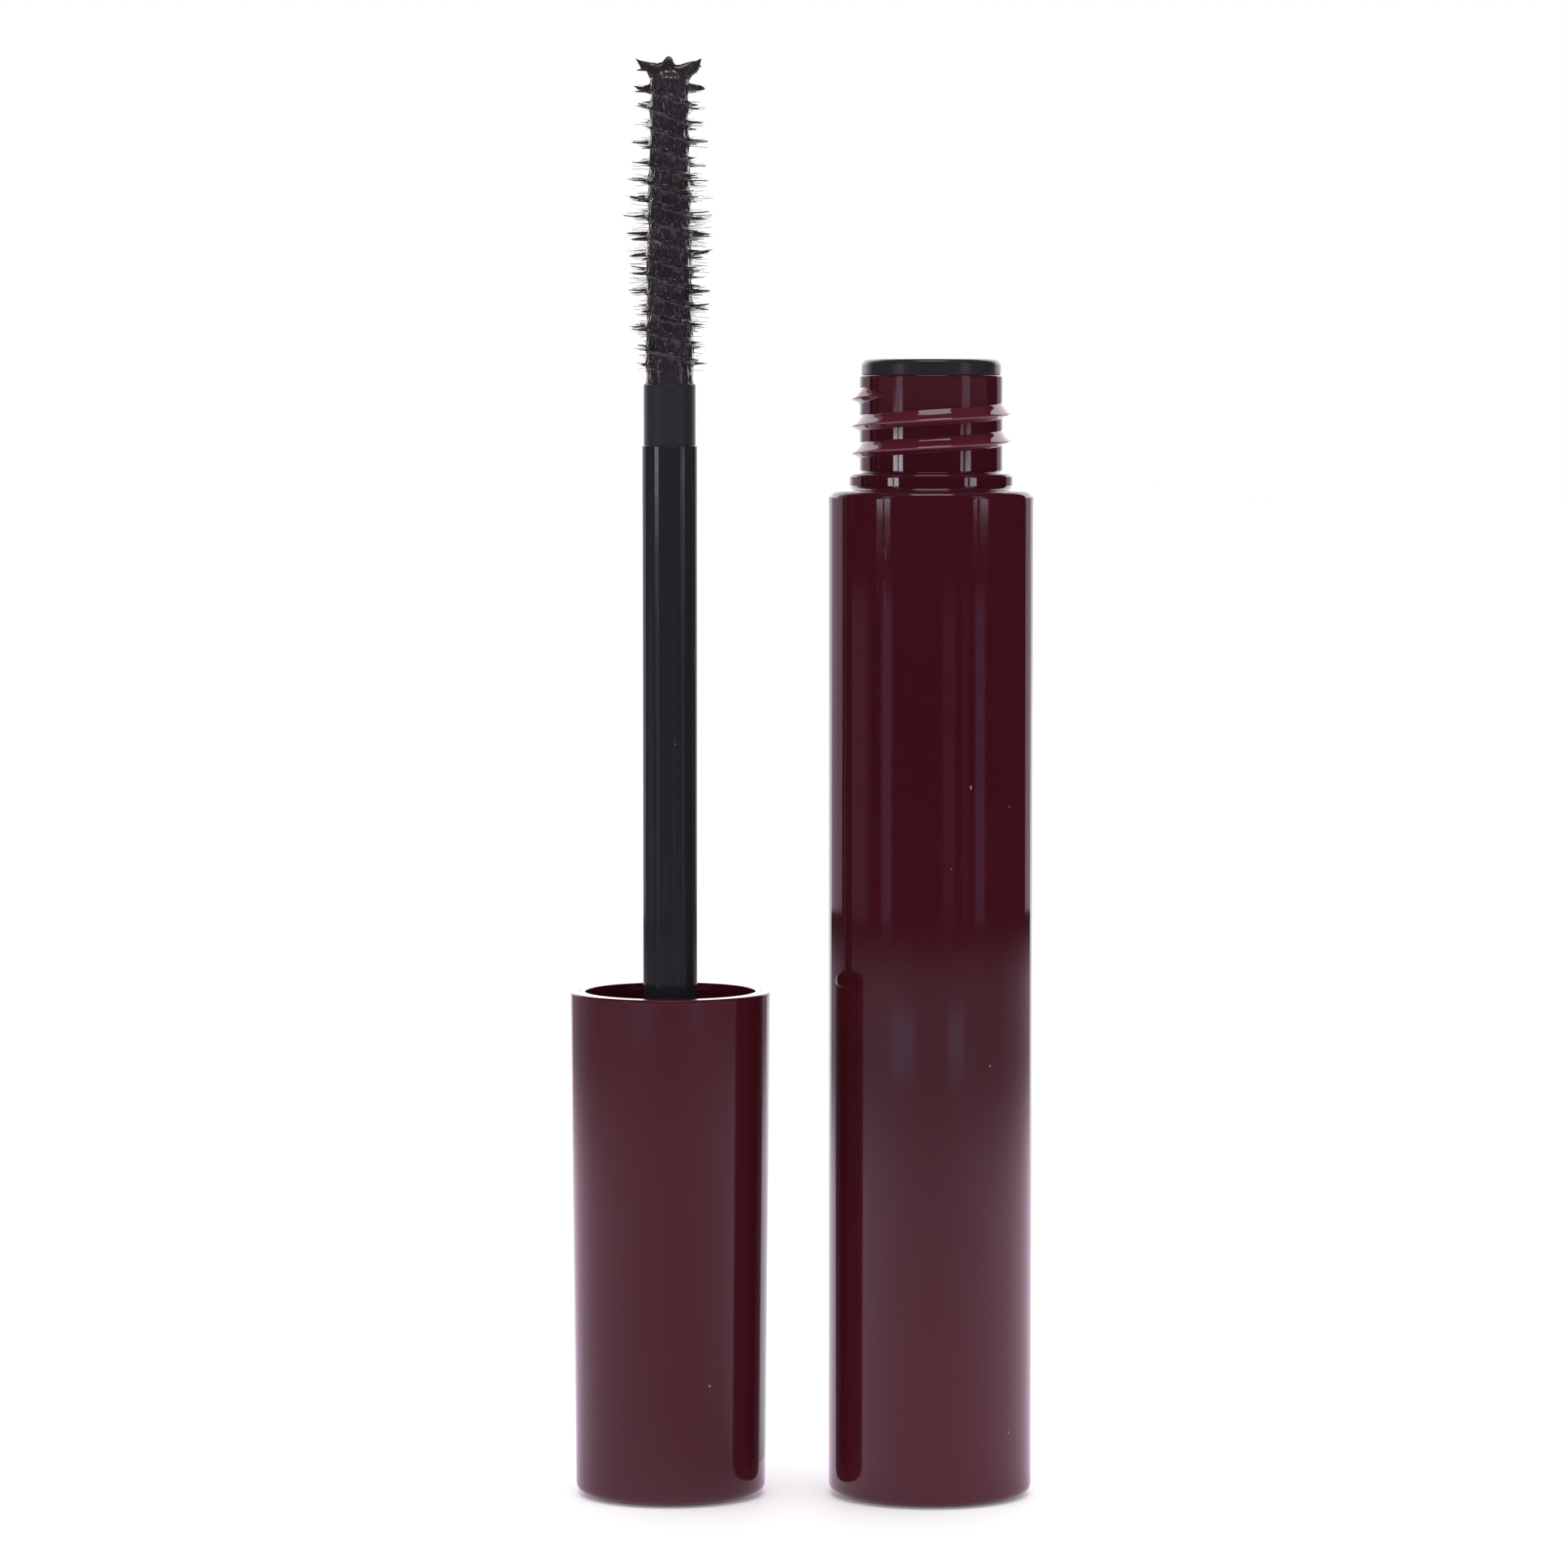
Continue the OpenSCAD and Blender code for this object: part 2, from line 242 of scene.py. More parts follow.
# %% [markdown]
# ## A way to start every material
#
# Each finish has its own Principled shader. Values that are the same all over the surface go straight
# on the shader's sockets. Only what changes from place to place is linked.


# %% Helpers for materials
def start_material(name, **sockets):
    """A new material with its Principled shader's constant sockets set."""
    material = bpy.data.materials.new(name)
    material.use_nodes = True
    shader = material.node_tree.nodes["Principled BSDF"]
    constants = {key.replace("_", " "): value for key, value in sockets.items()}
    connect(material.node_tree, shader.inputs, constants)
    return material, material.node_tree, shader


def use_group(tree, group, **inputs):
    """Places a shared group in a material with its own values, and returns its outputs."""
    return add(tree, "ShaderNodeGroup", inputs, node_tree=group).outputs


def mix_colours(tree, share, under, over):
    """Colour that goes from under to over as share goes from 0 to 1."""
    node = add(tree, "ShaderNodeMix", {"Factor": share}, data_type="RGBA")
    connect(tree, [s for s in node.inputs if s.type == "RGBA"], {0: under, 1: over})
    return next(s for s in node.outputs if s.type == "RGBA")


def surface(tree, shader, colour, rough, height, strength, distance):
    """Links a shader's colour and roughness, and adds fine relief under its gloss."""
    relief = step(tree, "ShaderNodeBump", {"Height": height, "Strength": strength, "Distance": distance})
    connect(tree, shader.inputs, {"Base Color": colour, "Roughness": rough, "Normal": relief})


# %% [markdown]
# ## Burgundy plastic
#
# The tube and the cap are moulded in a deep wine red and polished. The red is a touch translucent, so
# a little subsurface scattering is added. The thread has a brighter red, painted light for the light that
# shines through it, and its crest a paler one, a painted highlight. Towards the foot of a piece the colour
# is mixed a little redder by height, painted light from the floor.


# %% Burgundy gloss
REDDER = (0.10, 0.008, 0.018, 1.0)
FOOT_LOW = 12 * MM
FOOT_HIGH = 36 * MM


def burgundy(name, colour, low, high, ior=1.5, painted_floor_light=0.0):
    """Polished wine-red plastic with faint grain, hairlines, a few specks of lint, and a redder foot that
    is painted light from the floor.
    """
    material, tree, shader = start_material(
        name, IOR=ior, Subsurface_Weight=0.18, Subsurface_Radius=(1.0, 0.18, 0.2), Subsurface_Scale=0.0010)
    grain = use_group(tree, grain_group, Scale=260.0, Low=low, High=high)
    lint = use_group(tree, dust_group, Scale=620.0, Size=0.055, Share=0.06)["Mask"]
    scratches = use_group(tree, scratch_group, Scale=55.0, Stretch=16.0, Width=0.005)["Mask"]
    place = own_place(tree)
    swirl = ramp(tree, clouds(tree, place, 45.0, 3.0), 0.35, 0.75, 0.0, 0.12)
    # Painted light: the colour is mixed redder towards the foot, standing in for light from the floor.
    foot = ramp(tree, height_of(tree, place), FOOT_HIGH, FOOT_LOW, 0.0, painted_floor_light)
    body = mix_colours(tree, maths(tree, "ADD", swirl, foot), colour, REDDER)
    dusty = mix_colours(tree, lint, body, (0.26, 0.20, 0.18, 1.0))
    scuffed = maths(tree, "MULTIPLY_ADD", scratches, 0.08, grain["Roughness"])
    rough = maths(tree, "MULTIPLY_ADD", lint, 0.6, scuffed, clamp=True)
    surface(tree, shader, dusty, rough, grain["Height"], 0.05, 0.02 * MM)
    return material


tube_red = burgundy("burgundy_gloss_tube", (0.037, 0.0043, 0.0077, 1.0), 0.03, 0.06, ior=1.58,
                    painted_floor_light=0.28)
# Painted light: the thread's brighter red stands in for light shining through the thin ridge.
thread_painted_light_red = burgundy("burgundy_gloss_thread", (0.066, 0.0085, 0.0155, 1.0), 0.03, 0.06, ior=1.55)
cap_red = burgundy("burgundy_gloss_cap", (0.0445, 0.0048, 0.0086, 1.0), 0.05, 0.09, ior=1.48,
                   painted_floor_light=0.09)
# Painted highlight: the paler red on the thread's crest stands in for the line of light along it.
crest_highlight_red = burgundy("burgundy_crest", (0.150, 0.042, 0.060, 1.0), 0.10, 0.20, ior=1.55)
insert_red = burgundy("burgundy_insert", (0.050, 0.0045, 0.0085, 1.0), 0.03, 0.06)
print("reds:", tube_red.name, thread_painted_light_red.name, cap_red.name, crest_highlight_red.name, insert_red.name)

# %% [markdown]
# ## The blacks
#
# Three different blacks meet here. The wiper is a soft, satin polyethylene. The rod is a hard gloss
# whose last few millimetres are matt, where it is made narrower to hold the brush. The mascara is a
# wet paste, lumpy and shiny.

# %% Wiper plastic
wiper_black, tree, shader = start_material("wiper_satin", IOR=1.5)
grain = use_group(tree, grain_group, Scale=700.0, Low=0.16, High=0.26)
lint = use_group(tree, dust_group, Scale=900.0, Size=0.06, Share=0.06)["Mask"]
satin = mix_colours(tree, lint, (0.0185, 0.0155, 0.0195, 1.0), (0.3, 0.3, 0.3, 1.0))
surface(tree, shader, satin, grain["Roughness"], grain["Height"], 0.12, 0.03 * MM)

# %% Rod plastic, glossy and then matt at its end
rod_black, tree, shader = start_material("rod_gloss_and_matt", IOR=1.5)
grain = use_group(tree, grain_group, Scale=420.0, Low=0.06, High=0.13)
scratches = use_group(tree, scratch_group, Scale=80.0, Stretch=18.0, Width=0.012)["Mask"]
lint = use_group(tree, dust_group, Scale=780.0, Size=0.06, Share=0.08)["Mask"]
height = height_of(tree, own_place(tree))
matt = ramp(tree, height, ROD_GLOSS_TOP - 0.05 * MM, ROD_GLOSS_TOP + 0.05 * MM)
rod_colour = mix_colours(tree, matt, (0.0150, 0.0145, 0.0180, 1.0), (0.0175, 0.0155, 0.0210, 1.0))
rod_dusty = mix_colours(tree, lint, rod_colour, (0.30, 0.30, 0.32, 1.0))
rod_rough = maths(tree, "MULTIPLY_ADD", matt, 0.34, grain["Roughness"])
rod_rough = maths(tree, "MULTIPLY_ADD", scratches, 0.15, rod_rough)
rod_rough = maths(tree, "MULTIPLY_ADD", lint, 0.5, rod_rough, clamp=True)
surface(tree, shader, rod_dusty, rod_rough, grain["Height"], 0.06, 0.02 * MM)

# %% Mascara paste
paste_black, tree, shader = start_material("mascara_paste", IOR=1.7)
place = own_place(tree)
upright = vector_maths(tree, "MULTIPLY", place, (1.0, 1.0, 0.28))
beads = ramp(tree, clouds(tree, upright, 4600.0, 1.0, Roughness=0.4), 0.58, 0.72, soft=True)
patches = clouds(tree, place, 900.0, 3.0)
wet = ramp(tree, patches, 0.35, 0.65, 0.05, 0.16)
paste_colour = mix_colours(tree, patches, (0.0190, 0.0165, 0.0195, 1.0), (0.0275, 0.0235, 0.0270, 1.0))
surface(tree, shader, paste_colour, wet, beads, 1.0, 0.09 * MM)

# %% Bristle nylon, coated with mascara
bristle_black, tree, shader = start_material("loaded_nylon", IOR=1.53)
coat = clouds(tree, own_place(tree), 1500.0, 3.0)
nylon_colour = mix_colours(tree, coat, (0.012, 0.009, 0.010, 1.0), (0.045, 0.030, 0.030, 1.0))
surface(tree, shader, nylon_colour, ramp(tree, coat, 0.3, 0.7, 0.25, 0.5), coat, 0.3, 0.04 * MM)
print("blacks:", wiper_black.name, rod_black.name, paste_black.name, bristle_black.name)

# %% [markdown]
# ## Steel and foam
#
# Both are hidden in the standing pose, but a part that comes apart needs them. The wire is plain
# drawn steel, and the sealing ring is a pale closed-cell foam. In both, one grain drives the colour,
# the gloss and the relief.


# %% Wire steel and washer foam
def grainy(name, scale, low, high, dark, pale, strength, distance, **sockets):
    """A plain finish whose colour, gloss and relief follow one grain."""
    material, tree, shader = start_material(name, **sockets)
    grain = use_group(tree, grain_group, Scale=scale, Low=low, High=high)
    colour = mix_colours(tree, grain["Height"], dark, pale)
    surface(tree, shader, colour, grain["Roughness"], grain["Height"], strength, distance)
    return material


wire_steel = grainy("drawn_steel", 900.0, 0.22, 0.38, (0.42, 0.42, 0.44, 1.0), (0.62, 0.62, 0.64, 1.0),
                    0.1, 0.02 * MM, Metallic=1.0)
washer_foam = grainy("closed_cell_foam", 2600.0, 0.55, 0.8, (0.50, 0.50, 0.48, 1.0),
                     (0.70, 0.70, 0.68, 1.0), 0.4, 0.05 * MM, IOR=1.45)
print("hidden finishes:", wire_steel.name, washer_foam.name)

# %% [markdown]
# ## Turned shapes
#
# The tube, cap, rod and wiper are all round, so each is an outline spun about a vertical axis, which
# modellers call a lathe. An outline is written as radius and height. Corners get true arcs, because
# even a tiny round edge catches a line of light, and that line is what makes plastic look moulded.
# Building the rings directly, and not with the Screw modifier, keeps the poles closed. A long wall
# also gets a ring close to each end: smooth shading blends the directions at a corner, and without
# that ring the blend would bend the reflections all along the wall.


# %% Helpers: arcs and the lathe
SEGMENTS = 192


def arc(radius_at, height_at, size, start, end, steps=8):
    """Points of a corner arc about (radius_at, height_at), from start to end in degrees."""
    turns = [math.radians(start + (end - start) * i / steps) for i in range(steps + 1)]
    return [(radius_at + size * math.cos(t), height_at + size * math.sin(t)) for t in turns]


def mesh_of(name, bm):
    """Turns bmesh work into a mesh and clears the work away."""
    mesh = bpy.data.meshes.new(name)
    bm.to_mesh(mesh)
    bm.free()
    return mesh


def finish_piece(name, mesh, material, body, node, sharp=34):
    """Smooth shading, material, and the facts that tie the piece to the engineering model."""
    mesh.shade_smooth()
    mesh.set_sharp_from_angle(angle=math.radians(sharp))
    if material.name not in [m.name for m in mesh.materials if m]:
        mesh.materials.append(material)
    piece = in_scene(name, mesh)
    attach(piece, body)
    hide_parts(node)
    print(name, "has", len(mesh.polygons), "faces")


LONG_WALL = 0.4 * MM
KEEP_CLOSE = 0.02 * MM


def with_close_rings(outline, loop):
    """Adds a ring near each end of every long straight wall, so a corner's shading stays in the corner."""
    points = []
    ends = outline[1:] + [outline[0]]
    for start, end in zip(outline, ends if loop else ends[:-1]):
        points.append(start)
        length = math.dist(start, end)
        if length > LONG_WALL:
            for k in (KEEP_CLOSE / length, 1 - KEEP_CLOSE / length):
                points.append((start[0] + (end[0] - start[0]) * k, start[1] + (end[1] - start[1]) * k))
    return points if loop else points + [outline[-1]]


def skin(bm, rings, count, loop=False):
    """Faces between neighbouring rings of count points. A ring of one point is a pole."""
    pairs = list(zip(rings, rings[1:]))
    if loop:
        pairs.append((rings[-1], rings[0]))
    for first, second in pairs:
        for i in range(count):
            j = i + 1
            corners = [first[i % len(first)], first[j % len(first)],
                       second[j % len(second)], second[i % len(second)]]
            corners = list(dict.fromkeys(corners))
            if len(corners) > 2:
                bm.faces.new(corners)


def lathe_mesh(name, outline, axis_x=0.0, loop=False):
    """A mesh of an outline of (radius, height) points, spun and with its faces turned outwards."""
    bm = bmesh.new()
    turns = [TURN * i / SEGMENTS for i in range(SEGMENTS)]
    rings = []
    for radius, height in with_close_rings(outline, loop):
        if radius < 1e-9:
            rings.append([bm.verts.new((axis_x, 0, height))])
        else:
            rings.append([bm.verts.new((axis_x + radius * math.cos(t), radius * math.sin(t), height))
                          for t in turns])
    skin(bm, rings, SEGMENTS, loop)
    bmesh.ops.recalc_face_normals(bm, faces=bm.faces)
    return mesh_of(name, bm)


def turned_piece(name, outline, material, body, node, axis_x=0.0, loop=False):
    """A finished piece that is one spun outline."""
    finish_piece(name, lathe_mesh(name, outline, axis_x, loop), material, body, node)


# %% [markdown]
# ## Screw ridges with Geometry Nodes
#
# A thread is one section swept along a helix. In Geometry Nodes that is Curve to Mesh, with the path
# made from a straight line whose points are moved onto the helix by a formula. The radius of each
# path point scales the section, so the ridge fades out at both ends as a real moulded thread does.
# Named inputs let one tree serve the tube's thread and the cap's.

# %% Geometry Nodes: screw ridge
ridge_tree, put, out = new_group(
    "screw_ridge",
    {"Section": "Object", "Wall radius": NECK_R, "Pitch": 0.0022, "Start angle": 0.0, "Turn": 6.28,
     "Height at zero": 0.0, "Fade": 0.7, "Points": 200, "Material": "Material"},
    {"Mesh": "Geometry"}, "GeometryNodeTree")
sums = partial(maths, ridge_tree)
line = step(ridge_tree, "GeometryNodeCurvePrimitiveLine", {"End": (0, 0, 1)})
path = step(ridge_tree, "GeometryNodeResampleCurve", {"Curve": line, "Count": put["Points"]})
index = step(ridge_tree, "GeometryNodeInputIndex")
along = sums("DIVIDE", index, sums("SUBTRACT", put["Points"], 1.0))
gone = sums("MULTIPLY", along, put["Turn"])
angle = sums("ADD", put["Start angle"], gone)
rise = sums("DIVIDE", sums("MULTIPLY", angle, put["Pitch"]), TURN)
spot = step(ridge_tree, "ShaderNodeCombineXYZ",
            {"X": sums("MULTIPLY", put["Wall radius"], sums("COSINE", angle)),
             "Y": sums("MULTIPLY", put["Wall radius"], sums("SINE", angle)),
             "Z": sums("ADD", put["Height at zero"], rise)})
helix = step(ridge_tree, "GeometryNodeSetPosition", {"Geometry": path, "Position": spot})
left = sums("SUBTRACT", put["Turn"], gone)
nearest_end = sums("DIVIDE", sums("MINIMUM", gone, left), put["Fade"])
fade = sums("MAXIMUM", sums("SMOOTH_MIN", nearest_end, 1.0, 0.25), 0.02)
upright = step(ridge_tree, "GeometryNodeSetCurveNormal", {"Curve": helix}, mode="Z_UP")
section = add(ridge_tree, "GeometryNodeObjectInfo", {"Object": put["Section"]}).outputs["Geometry"]
sweep = step(ridge_tree, "GeometryNodeCurveToMesh",
             {"Curve": upright, "Profile Curve": section, "Scale": fade, "Fill Caps": True})
single = step(ridge_tree, "GeometryNodeRealizeInstances", {"Geometry": sweep})
coloured = step(ridge_tree, "GeometryNodeSetMaterial", {"Geometry": single, "Material": put["Material"]})
connect(ridge_tree, out, {"Mesh": coloured})
print("tree made:", ridge_tree.name, "with", len(ridge_tree.nodes), "nodes")


# %% Helpers: run a tree, and make a section
def run_tree(tree, values):
    """Evaluates a Geometry Nodes tree on an empty mesh and returns the plain mesh it makes."""
    holder = in_scene("holder", bpy.data.meshes.new("holder"))
    modifier = holder.modifiers.new("nodes", "NODES")
    modifier.node_group = tree
    sockets = {item.name: item.identifier for item in tree.interface.items_tree if item.in_out == "INPUT"}
    for key, value in values.items():
        modifier[sockets[key]] = value
    graph = bpy.context.evaluated_depsgraph_get()
    result = bpy.data.meshes.new_from_object(holder.evaluated_get(graph), depsgraph=graph)
    bpy.data.objects.remove(holder, do_unlink=True)
    return result


def section_curve(name, points):
    """A closed flat outline for a sweep. X points away from the wall, and Y points down."""
    curve = bpy.data.curves.new(name, "CURVE")
    spline = curve.splines.new("POLY")
    spline.points.add(len(points) - 1)
    for spot, (out_by, up) in zip(spline.points, points):
        spot.co = (out_by, -up, 0, 1)
    spline.use_cyclic_u = True
    return in_scene(name, curve)


def turned_out(mesh, material):
    """Points a swept mesh's faces outwards and keeps one material on it."""
    bm = bmesh.new()
    bm.from_mesh(mesh)
    bmesh.ops.remove_doubles(bm, verts=bm.verts, dist=1e-8)
    bmesh.ops.recalc_face_normals(bm, faces=bm.faces)
    bm.to_mesh(mesh)
    bm.free()
    mesh.materials.clear()
    mesh.materials.append(material)
    return mesh


def joined(name, first, second, second_slot=0):
    """One mesh of two, for pieces that are one moulding. The second can use its own material slot."""
    bm = bmesh.new()
    bm.from_mesh(first)
    before = len(bm.faces)
    bm.from_mesh(second)
    bm.faces.ensure_lookup_table()
    for face in bm.faces[before:]:
        face.material_index = second_slot
    return mesh_of(name, bm)


# %% [markdown]
# ## The tube
#
# One moulding: a straight body, a soft shoulder, a bead with a hollow foot that the cap's rim closes
# over, and the neck with its thread. The outline runs up the outside, over the neck's edge, down
# the bore and back to the axis, so the wall has a real thickness.

# %% Tube outline
BASE_ROUND = 0.9 * MM
SHOULDER_ROUND = 0.6 * MM
BEAD_R = 6.6 * MM
BEAD_FOOT = 0.38 * MM
BEAD_HIGH = SHOULDER + 1.40 * MM
BEAD_EDGE = 0.32 * MM
BORE_R = 6.7 * MM
NECK_BORE_R = 4.6 * MM
FLOOR = 2.2 * MM
CAVITY_TOP = SHOULDER - 2.2 * MM

tube_outline = [(0, 0), (TUBE_R - 1.6 * MM, 0)]
tube_outline += arc(TUBE_R - BASE_ROUND, BASE_ROUND, BASE_ROUND, -90, 0, 10)
tube_outline += arc(TUBE_R - SHOULDER_ROUND, SHOULDER - SHOULDER_ROUND, SHOULDER_ROUND, 0, 90, 10)
tube_outline += arc(BEAD_R + BEAD_FOOT, SHOULDER + BEAD_FOOT, BEAD_FOOT, 270, 180, 10)
tube_outline += arc(BEAD_R - BEAD_EDGE, BEAD_HIGH - BEAD_EDGE, BEAD_EDGE, 0, 90, 6)
tube_outline += arc(NECK_R + 0.18 * MM, BEAD_HIGH + 0.18 * MM, 0.18 * MM, 270, 180, 5)
tube_outline += arc(NECK_R - 0.12 * MM, NECK_TOP - 0.12 * MM, 0.12 * MM, 0, 90, 5)
tube_outline += [(NECK_BORE_R, NECK_TOP), (NECK_BORE_R, CAVITY_TOP), (BORE_R, CAVITY_TOP)]
tube_outline += [(BORE_R, FLOOR + 0.8 * MM), (BORE_R - 0.8 * MM, FLOOR), (0, FLOOR)]
tube_body = lathe_mesh("tube_body", tube_outline)

# %% [markdown]
# The tube's thread is a buttress: a long slope above and a short, flatter one below, so that the cap
# pulls down hard. Its feet curve into the neck, and its crest is narrow but not sharp. Light gets
# through so thin a ridge, and its brighter version of the tube's red is painted light for that; its very
# edge has a paler red still, a painted highlight along the crest.

# %% Tube thread
PITCH = 2.2 * MM
THREAD_R = 6.475 * MM
CREST_AT_LEFT = SHOULDER + 7.34 * MM
TUBE_THREAD_END = math.radians(589)
TUBE_THREAD_TURN = 2.28 * TURN
DEPTH = THREAD_R - NECK_R
SINK = 0.12 * MM
CREST_HIGHLIGHT_BAND = 0.07 * MM

tube_section = section_curve("tube_thread_section", [
    (-SINK, -0.46 * MM), (0.02 * MM, -0.42 * MM), (0.07 * MM, -0.35 * MM), (0.16 * MM, -0.28 * MM),
    (DEPTH - 0.12 * MM, -0.11 * MM), (DEPTH - 0.03 * MM, -0.07 * MM), (DEPTH, 0.0),
    (DEPTH - 0.03 * MM, 0.06 * MM), (DEPTH - 0.12 * MM, 0.15 * MM), (0.34 * MM, 0.40 * MM),
    (0.15 * MM, 0.62 * MM), (0.05 * MM, 0.80 * MM), (-SINK, 0.96 * MM)])
tube_thread = run_tree(ridge_tree, {
    "Section": tube_section, "Wall radius": NECK_R, "Pitch": PITCH,
    "Start angle": TUBE_THREAD_END - TUBE_THREAD_TURN, "Turn": TUBE_THREAD_TURN,
    "Height at zero": CREST_AT_LEFT - 1.5 * PITCH, "Fade": math.radians(28), "Points": 330,
    "Material": thread_painted_light_red})
tube_thread = turned_out(tube_thread, thread_painted_light_red)
bpy.data.objects.remove(tube_section, do_unlink=True)
reach = max(math.hypot(v.co.x, v.co.y) for v in tube_thread.vertices)
print("thread measures", round(2 * reach / MM, 2), "mm over its crests")
tube_mesh = joined("tube", tube_body, tube_thread, second_slot=1)
# Faces along the crest take the paler red, a painted highlight line.
for face in tube_mesh.polygons:
    if math.hypot(face.center.x, face.center.y) > reach - CREST_HIGHLIGHT_BAND and face.material_index == 1:
        face.material_index = 2
for material in (tube_red, thread_painted_light_red, crest_highlight_red):
    tube_mesh.materials.append(material)
finish_piece("tube", tube_mesh, tube_red, "tube", "bottle")

# %% [markdown]
# ## The wiper
#
# A soft plug with a flange. Its funnel narrows to the orifice that scrapes the rod clean and leaves
# the right amount on the brush. The outline is a closed loop, because the bore goes right through.

# %% Wiper
FLANGE_R = 5.65 * MM
FLANGE_TOP = wiper_high[2]
ORIFICE_R = 2.28 * MM
FUNNEL_R = 3.8 * MM
wiper_outline = arc(FLANGE_R - 0.08 * MM, NECK_TOP + 0.08 * MM, 0.08 * MM, -90, 0, 3)
wiper_outline += arc(FLANGE_R - 0.45 * MM, FLANGE_TOP - 0.45 * MM, 0.45 * MM, 0, 90, 9)
wiper_outline += arc(FUNNEL_R + 0.3 * MM, FLANGE_TOP - 0.3 * MM, 0.3 * MM, 90, 180, 6)
wiper_outline += [(FUNNEL_R, NECK_TOP - 2 * MM), (ORIFICE_R, wiper_low[2] + 1.5 * MM)]
wiper_outline += [(ORIFICE_R, wiper_low[2]), (3.1 * MM, wiper_low[2])]
wiper_outline += [(NECK_BORE_R, SHOULDER + 1.5 * MM), (NECK_BORE_R, NECK_TOP)]
turned_piece("wiper", wiper_outline, wiper_black, "tube", "wiper", loop=True)

# %% [markdown]
# ## What is left in the tube
#
# The product clings to the wall and keeps the channel that the brush leaves. It can only be glimpsed
# down the wiper, so a lathe with uneven rings is enough, with the paste finish doing the rest.

# %% Mascara in the tube
fill_low, fill_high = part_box("mascara_fill")
FILL_FLOOR = 2.4 * MM
FILL_STEPS = 40
CHANNEL_R = 4.2 * MM
FILL_R = (fill_high[0] - fill_low[0]) / 2
channel = []
for i in range(FILL_STEPS + 1):
    height = fill_low[2] + FILL_FLOOR + (fill_high[2] - fill_low[2] - 2.5 * MM) * i / FILL_STEPS
    wobble = 0.12 * MM * noise.noise(Vector((0.0, 0.0, height * 700)))
    opening = 2.0 * MM * max(0.0, (i - FILL_STEPS * 0.88) / (FILL_STEPS * 0.12)) ** 2
    channel.append((CHANNEL_R + opening + wobble, height))
fill_outline = [(0, fill_low[2]), (FILL_R, fill_low[2]), (FILL_R, fill_high[2])]
fill_outline += channel[::-1] + [(0, fill_low[2] + FILL_FLOOR)]
turned_piece("mascara_in_tube", fill_outline, paste_black, "tube", "mascara_fill")

# %% [markdown]
# ## The cap
#
# Two pieces press together. The outer shell is slightly wider at its rim than at its closed end, so
# that it leaves its mould. The insert inside carries the thread and grips the rod.

# %% Outer cap
CAP_ROUND = 0.9 * MM
RIM_ROUND = 0.16 * MM
SHELL_BORE_R = 7.45 * MM
SHELL_DEEP_R = 6.6 * MM
SHELL_FLOOR = 1.3 * MM
INSERT_LOW = 18.2 * MM
shell_outline = [(0, 0), (CAP_END_R - 1.6 * MM, 0)]
shell_outline += arc(CAP_END_R - CAP_ROUND, CAP_ROUND, CAP_ROUND, -90, 0, 10)
shell_outline += arc(CAP_RIM_R - RIM_ROUND, CAP_TOP - RIM_ROUND, RIM_ROUND, 0, 90, 6)
shell_outline += [(SHELL_BORE_R, CAP_TOP), (SHELL_BORE_R, INSERT_LOW - 0.2 * MM)]
shell_outline += [(SHELL_DEEP_R, INSERT_LOW - 0.2 * MM), (SHELL_DEEP_R, SHELL_FLOOR), (0, SHELL_FLOOR)]
turned_piece("outer_cap", shell_outline, cap_red, "wand", "outer_cap", WAND_X)

# %% Inner cap
INSERT_R = 7.425 * MM
THREAD_BORE_R = 6.575 * MM
MOUTH_R = 6.95 * MM
CEILING = 29.9 * MM
BOSS_R = 4.2 * MM
BOSS_LOW = 17.4 * MM
insert_outline = [(INSERT_R, INSERT_LOW)]
insert_outline += arc(INSERT_R - 0.05 * MM, CAP_TOP - 0.05 * MM, 0.05 * MM, 0, 90, 4)
insert_outline += arc(MOUTH_R + 0.08 * MM, CAP_TOP - 0.08 * MM, 0.08 * MM, 90, 180, 4)
insert_outline += [(MOUTH_R, CAP_TOP - 1.45 * MM), (THREAD_BORE_R, CAP_TOP - 1.75 * MM)]
insert_outline += [(THREAD_BORE_R, CEILING), (ROD_R, CEILING), (ROD_R, BOSS_LOW), (BOSS_R, BOSS_LOW)]
insert_outline += [(BOSS_R, CEILING - 1.6 * MM), (THREAD_BORE_R, CEILING - 1.6 * MM)]
insert_outline += [(THREAD_BORE_R, INSERT_LOW)]
insert_body = lathe_mesh("insert_body", insert_outline, WAND_X, loop=True)

# %% [markdown]
# The insert's thread stands inwards, so its section is mirrored: the sweep's wall is the bore, and
# the crest points at the axis.

# %% Inner cap thread
INNER_DEPTH = THREAD_BORE_R - 5.925 * MM
INNER_AT_ZERO = CAP_TOP + SHOULDER + 0.15 * MM - CREST_AT_LEFT - 1.3 * MM + PITCH
inner_section = section_curve("cap_thread_section", [
    (0.1 * MM, -0.66 * MM), (-0.04 * MM, -0.56 * MM), (-INNER_DEPTH + 0.1 * MM, -0.26 * MM),
    (-INNER_DEPTH, -0.14 * MM), (-INNER_DEPTH, 0.14 * MM), (-INNER_DEPTH + 0.1 * MM, 0.26 * MM),
    (-0.04 * MM, 0.56 * MM), (0.1 * MM, 0.66 * MM)])
cap_thread = run_tree(ridge_tree, {
    "Section": inner_section, "Wall radius": THREAD_BORE_R, "Pitch": PITCH,
    "Start angle": math.radians(-300), "Turn": math.radians(640), "Height at zero": INNER_AT_ZERO,
    "Fade": math.radians(45), "Points": 260, "Material": insert_red})
cap_thread = turned_out(cap_thread, insert_red)
cap_thread.transform(Matrix.Translation((WAND_X, 0, 0)))
bpy.data.objects.remove(inner_section, do_unlink=True)
finish_piece("inner_cap", joined("inner_cap", insert_body, cap_thread), insert_red, "wand",
             "inner_cap")

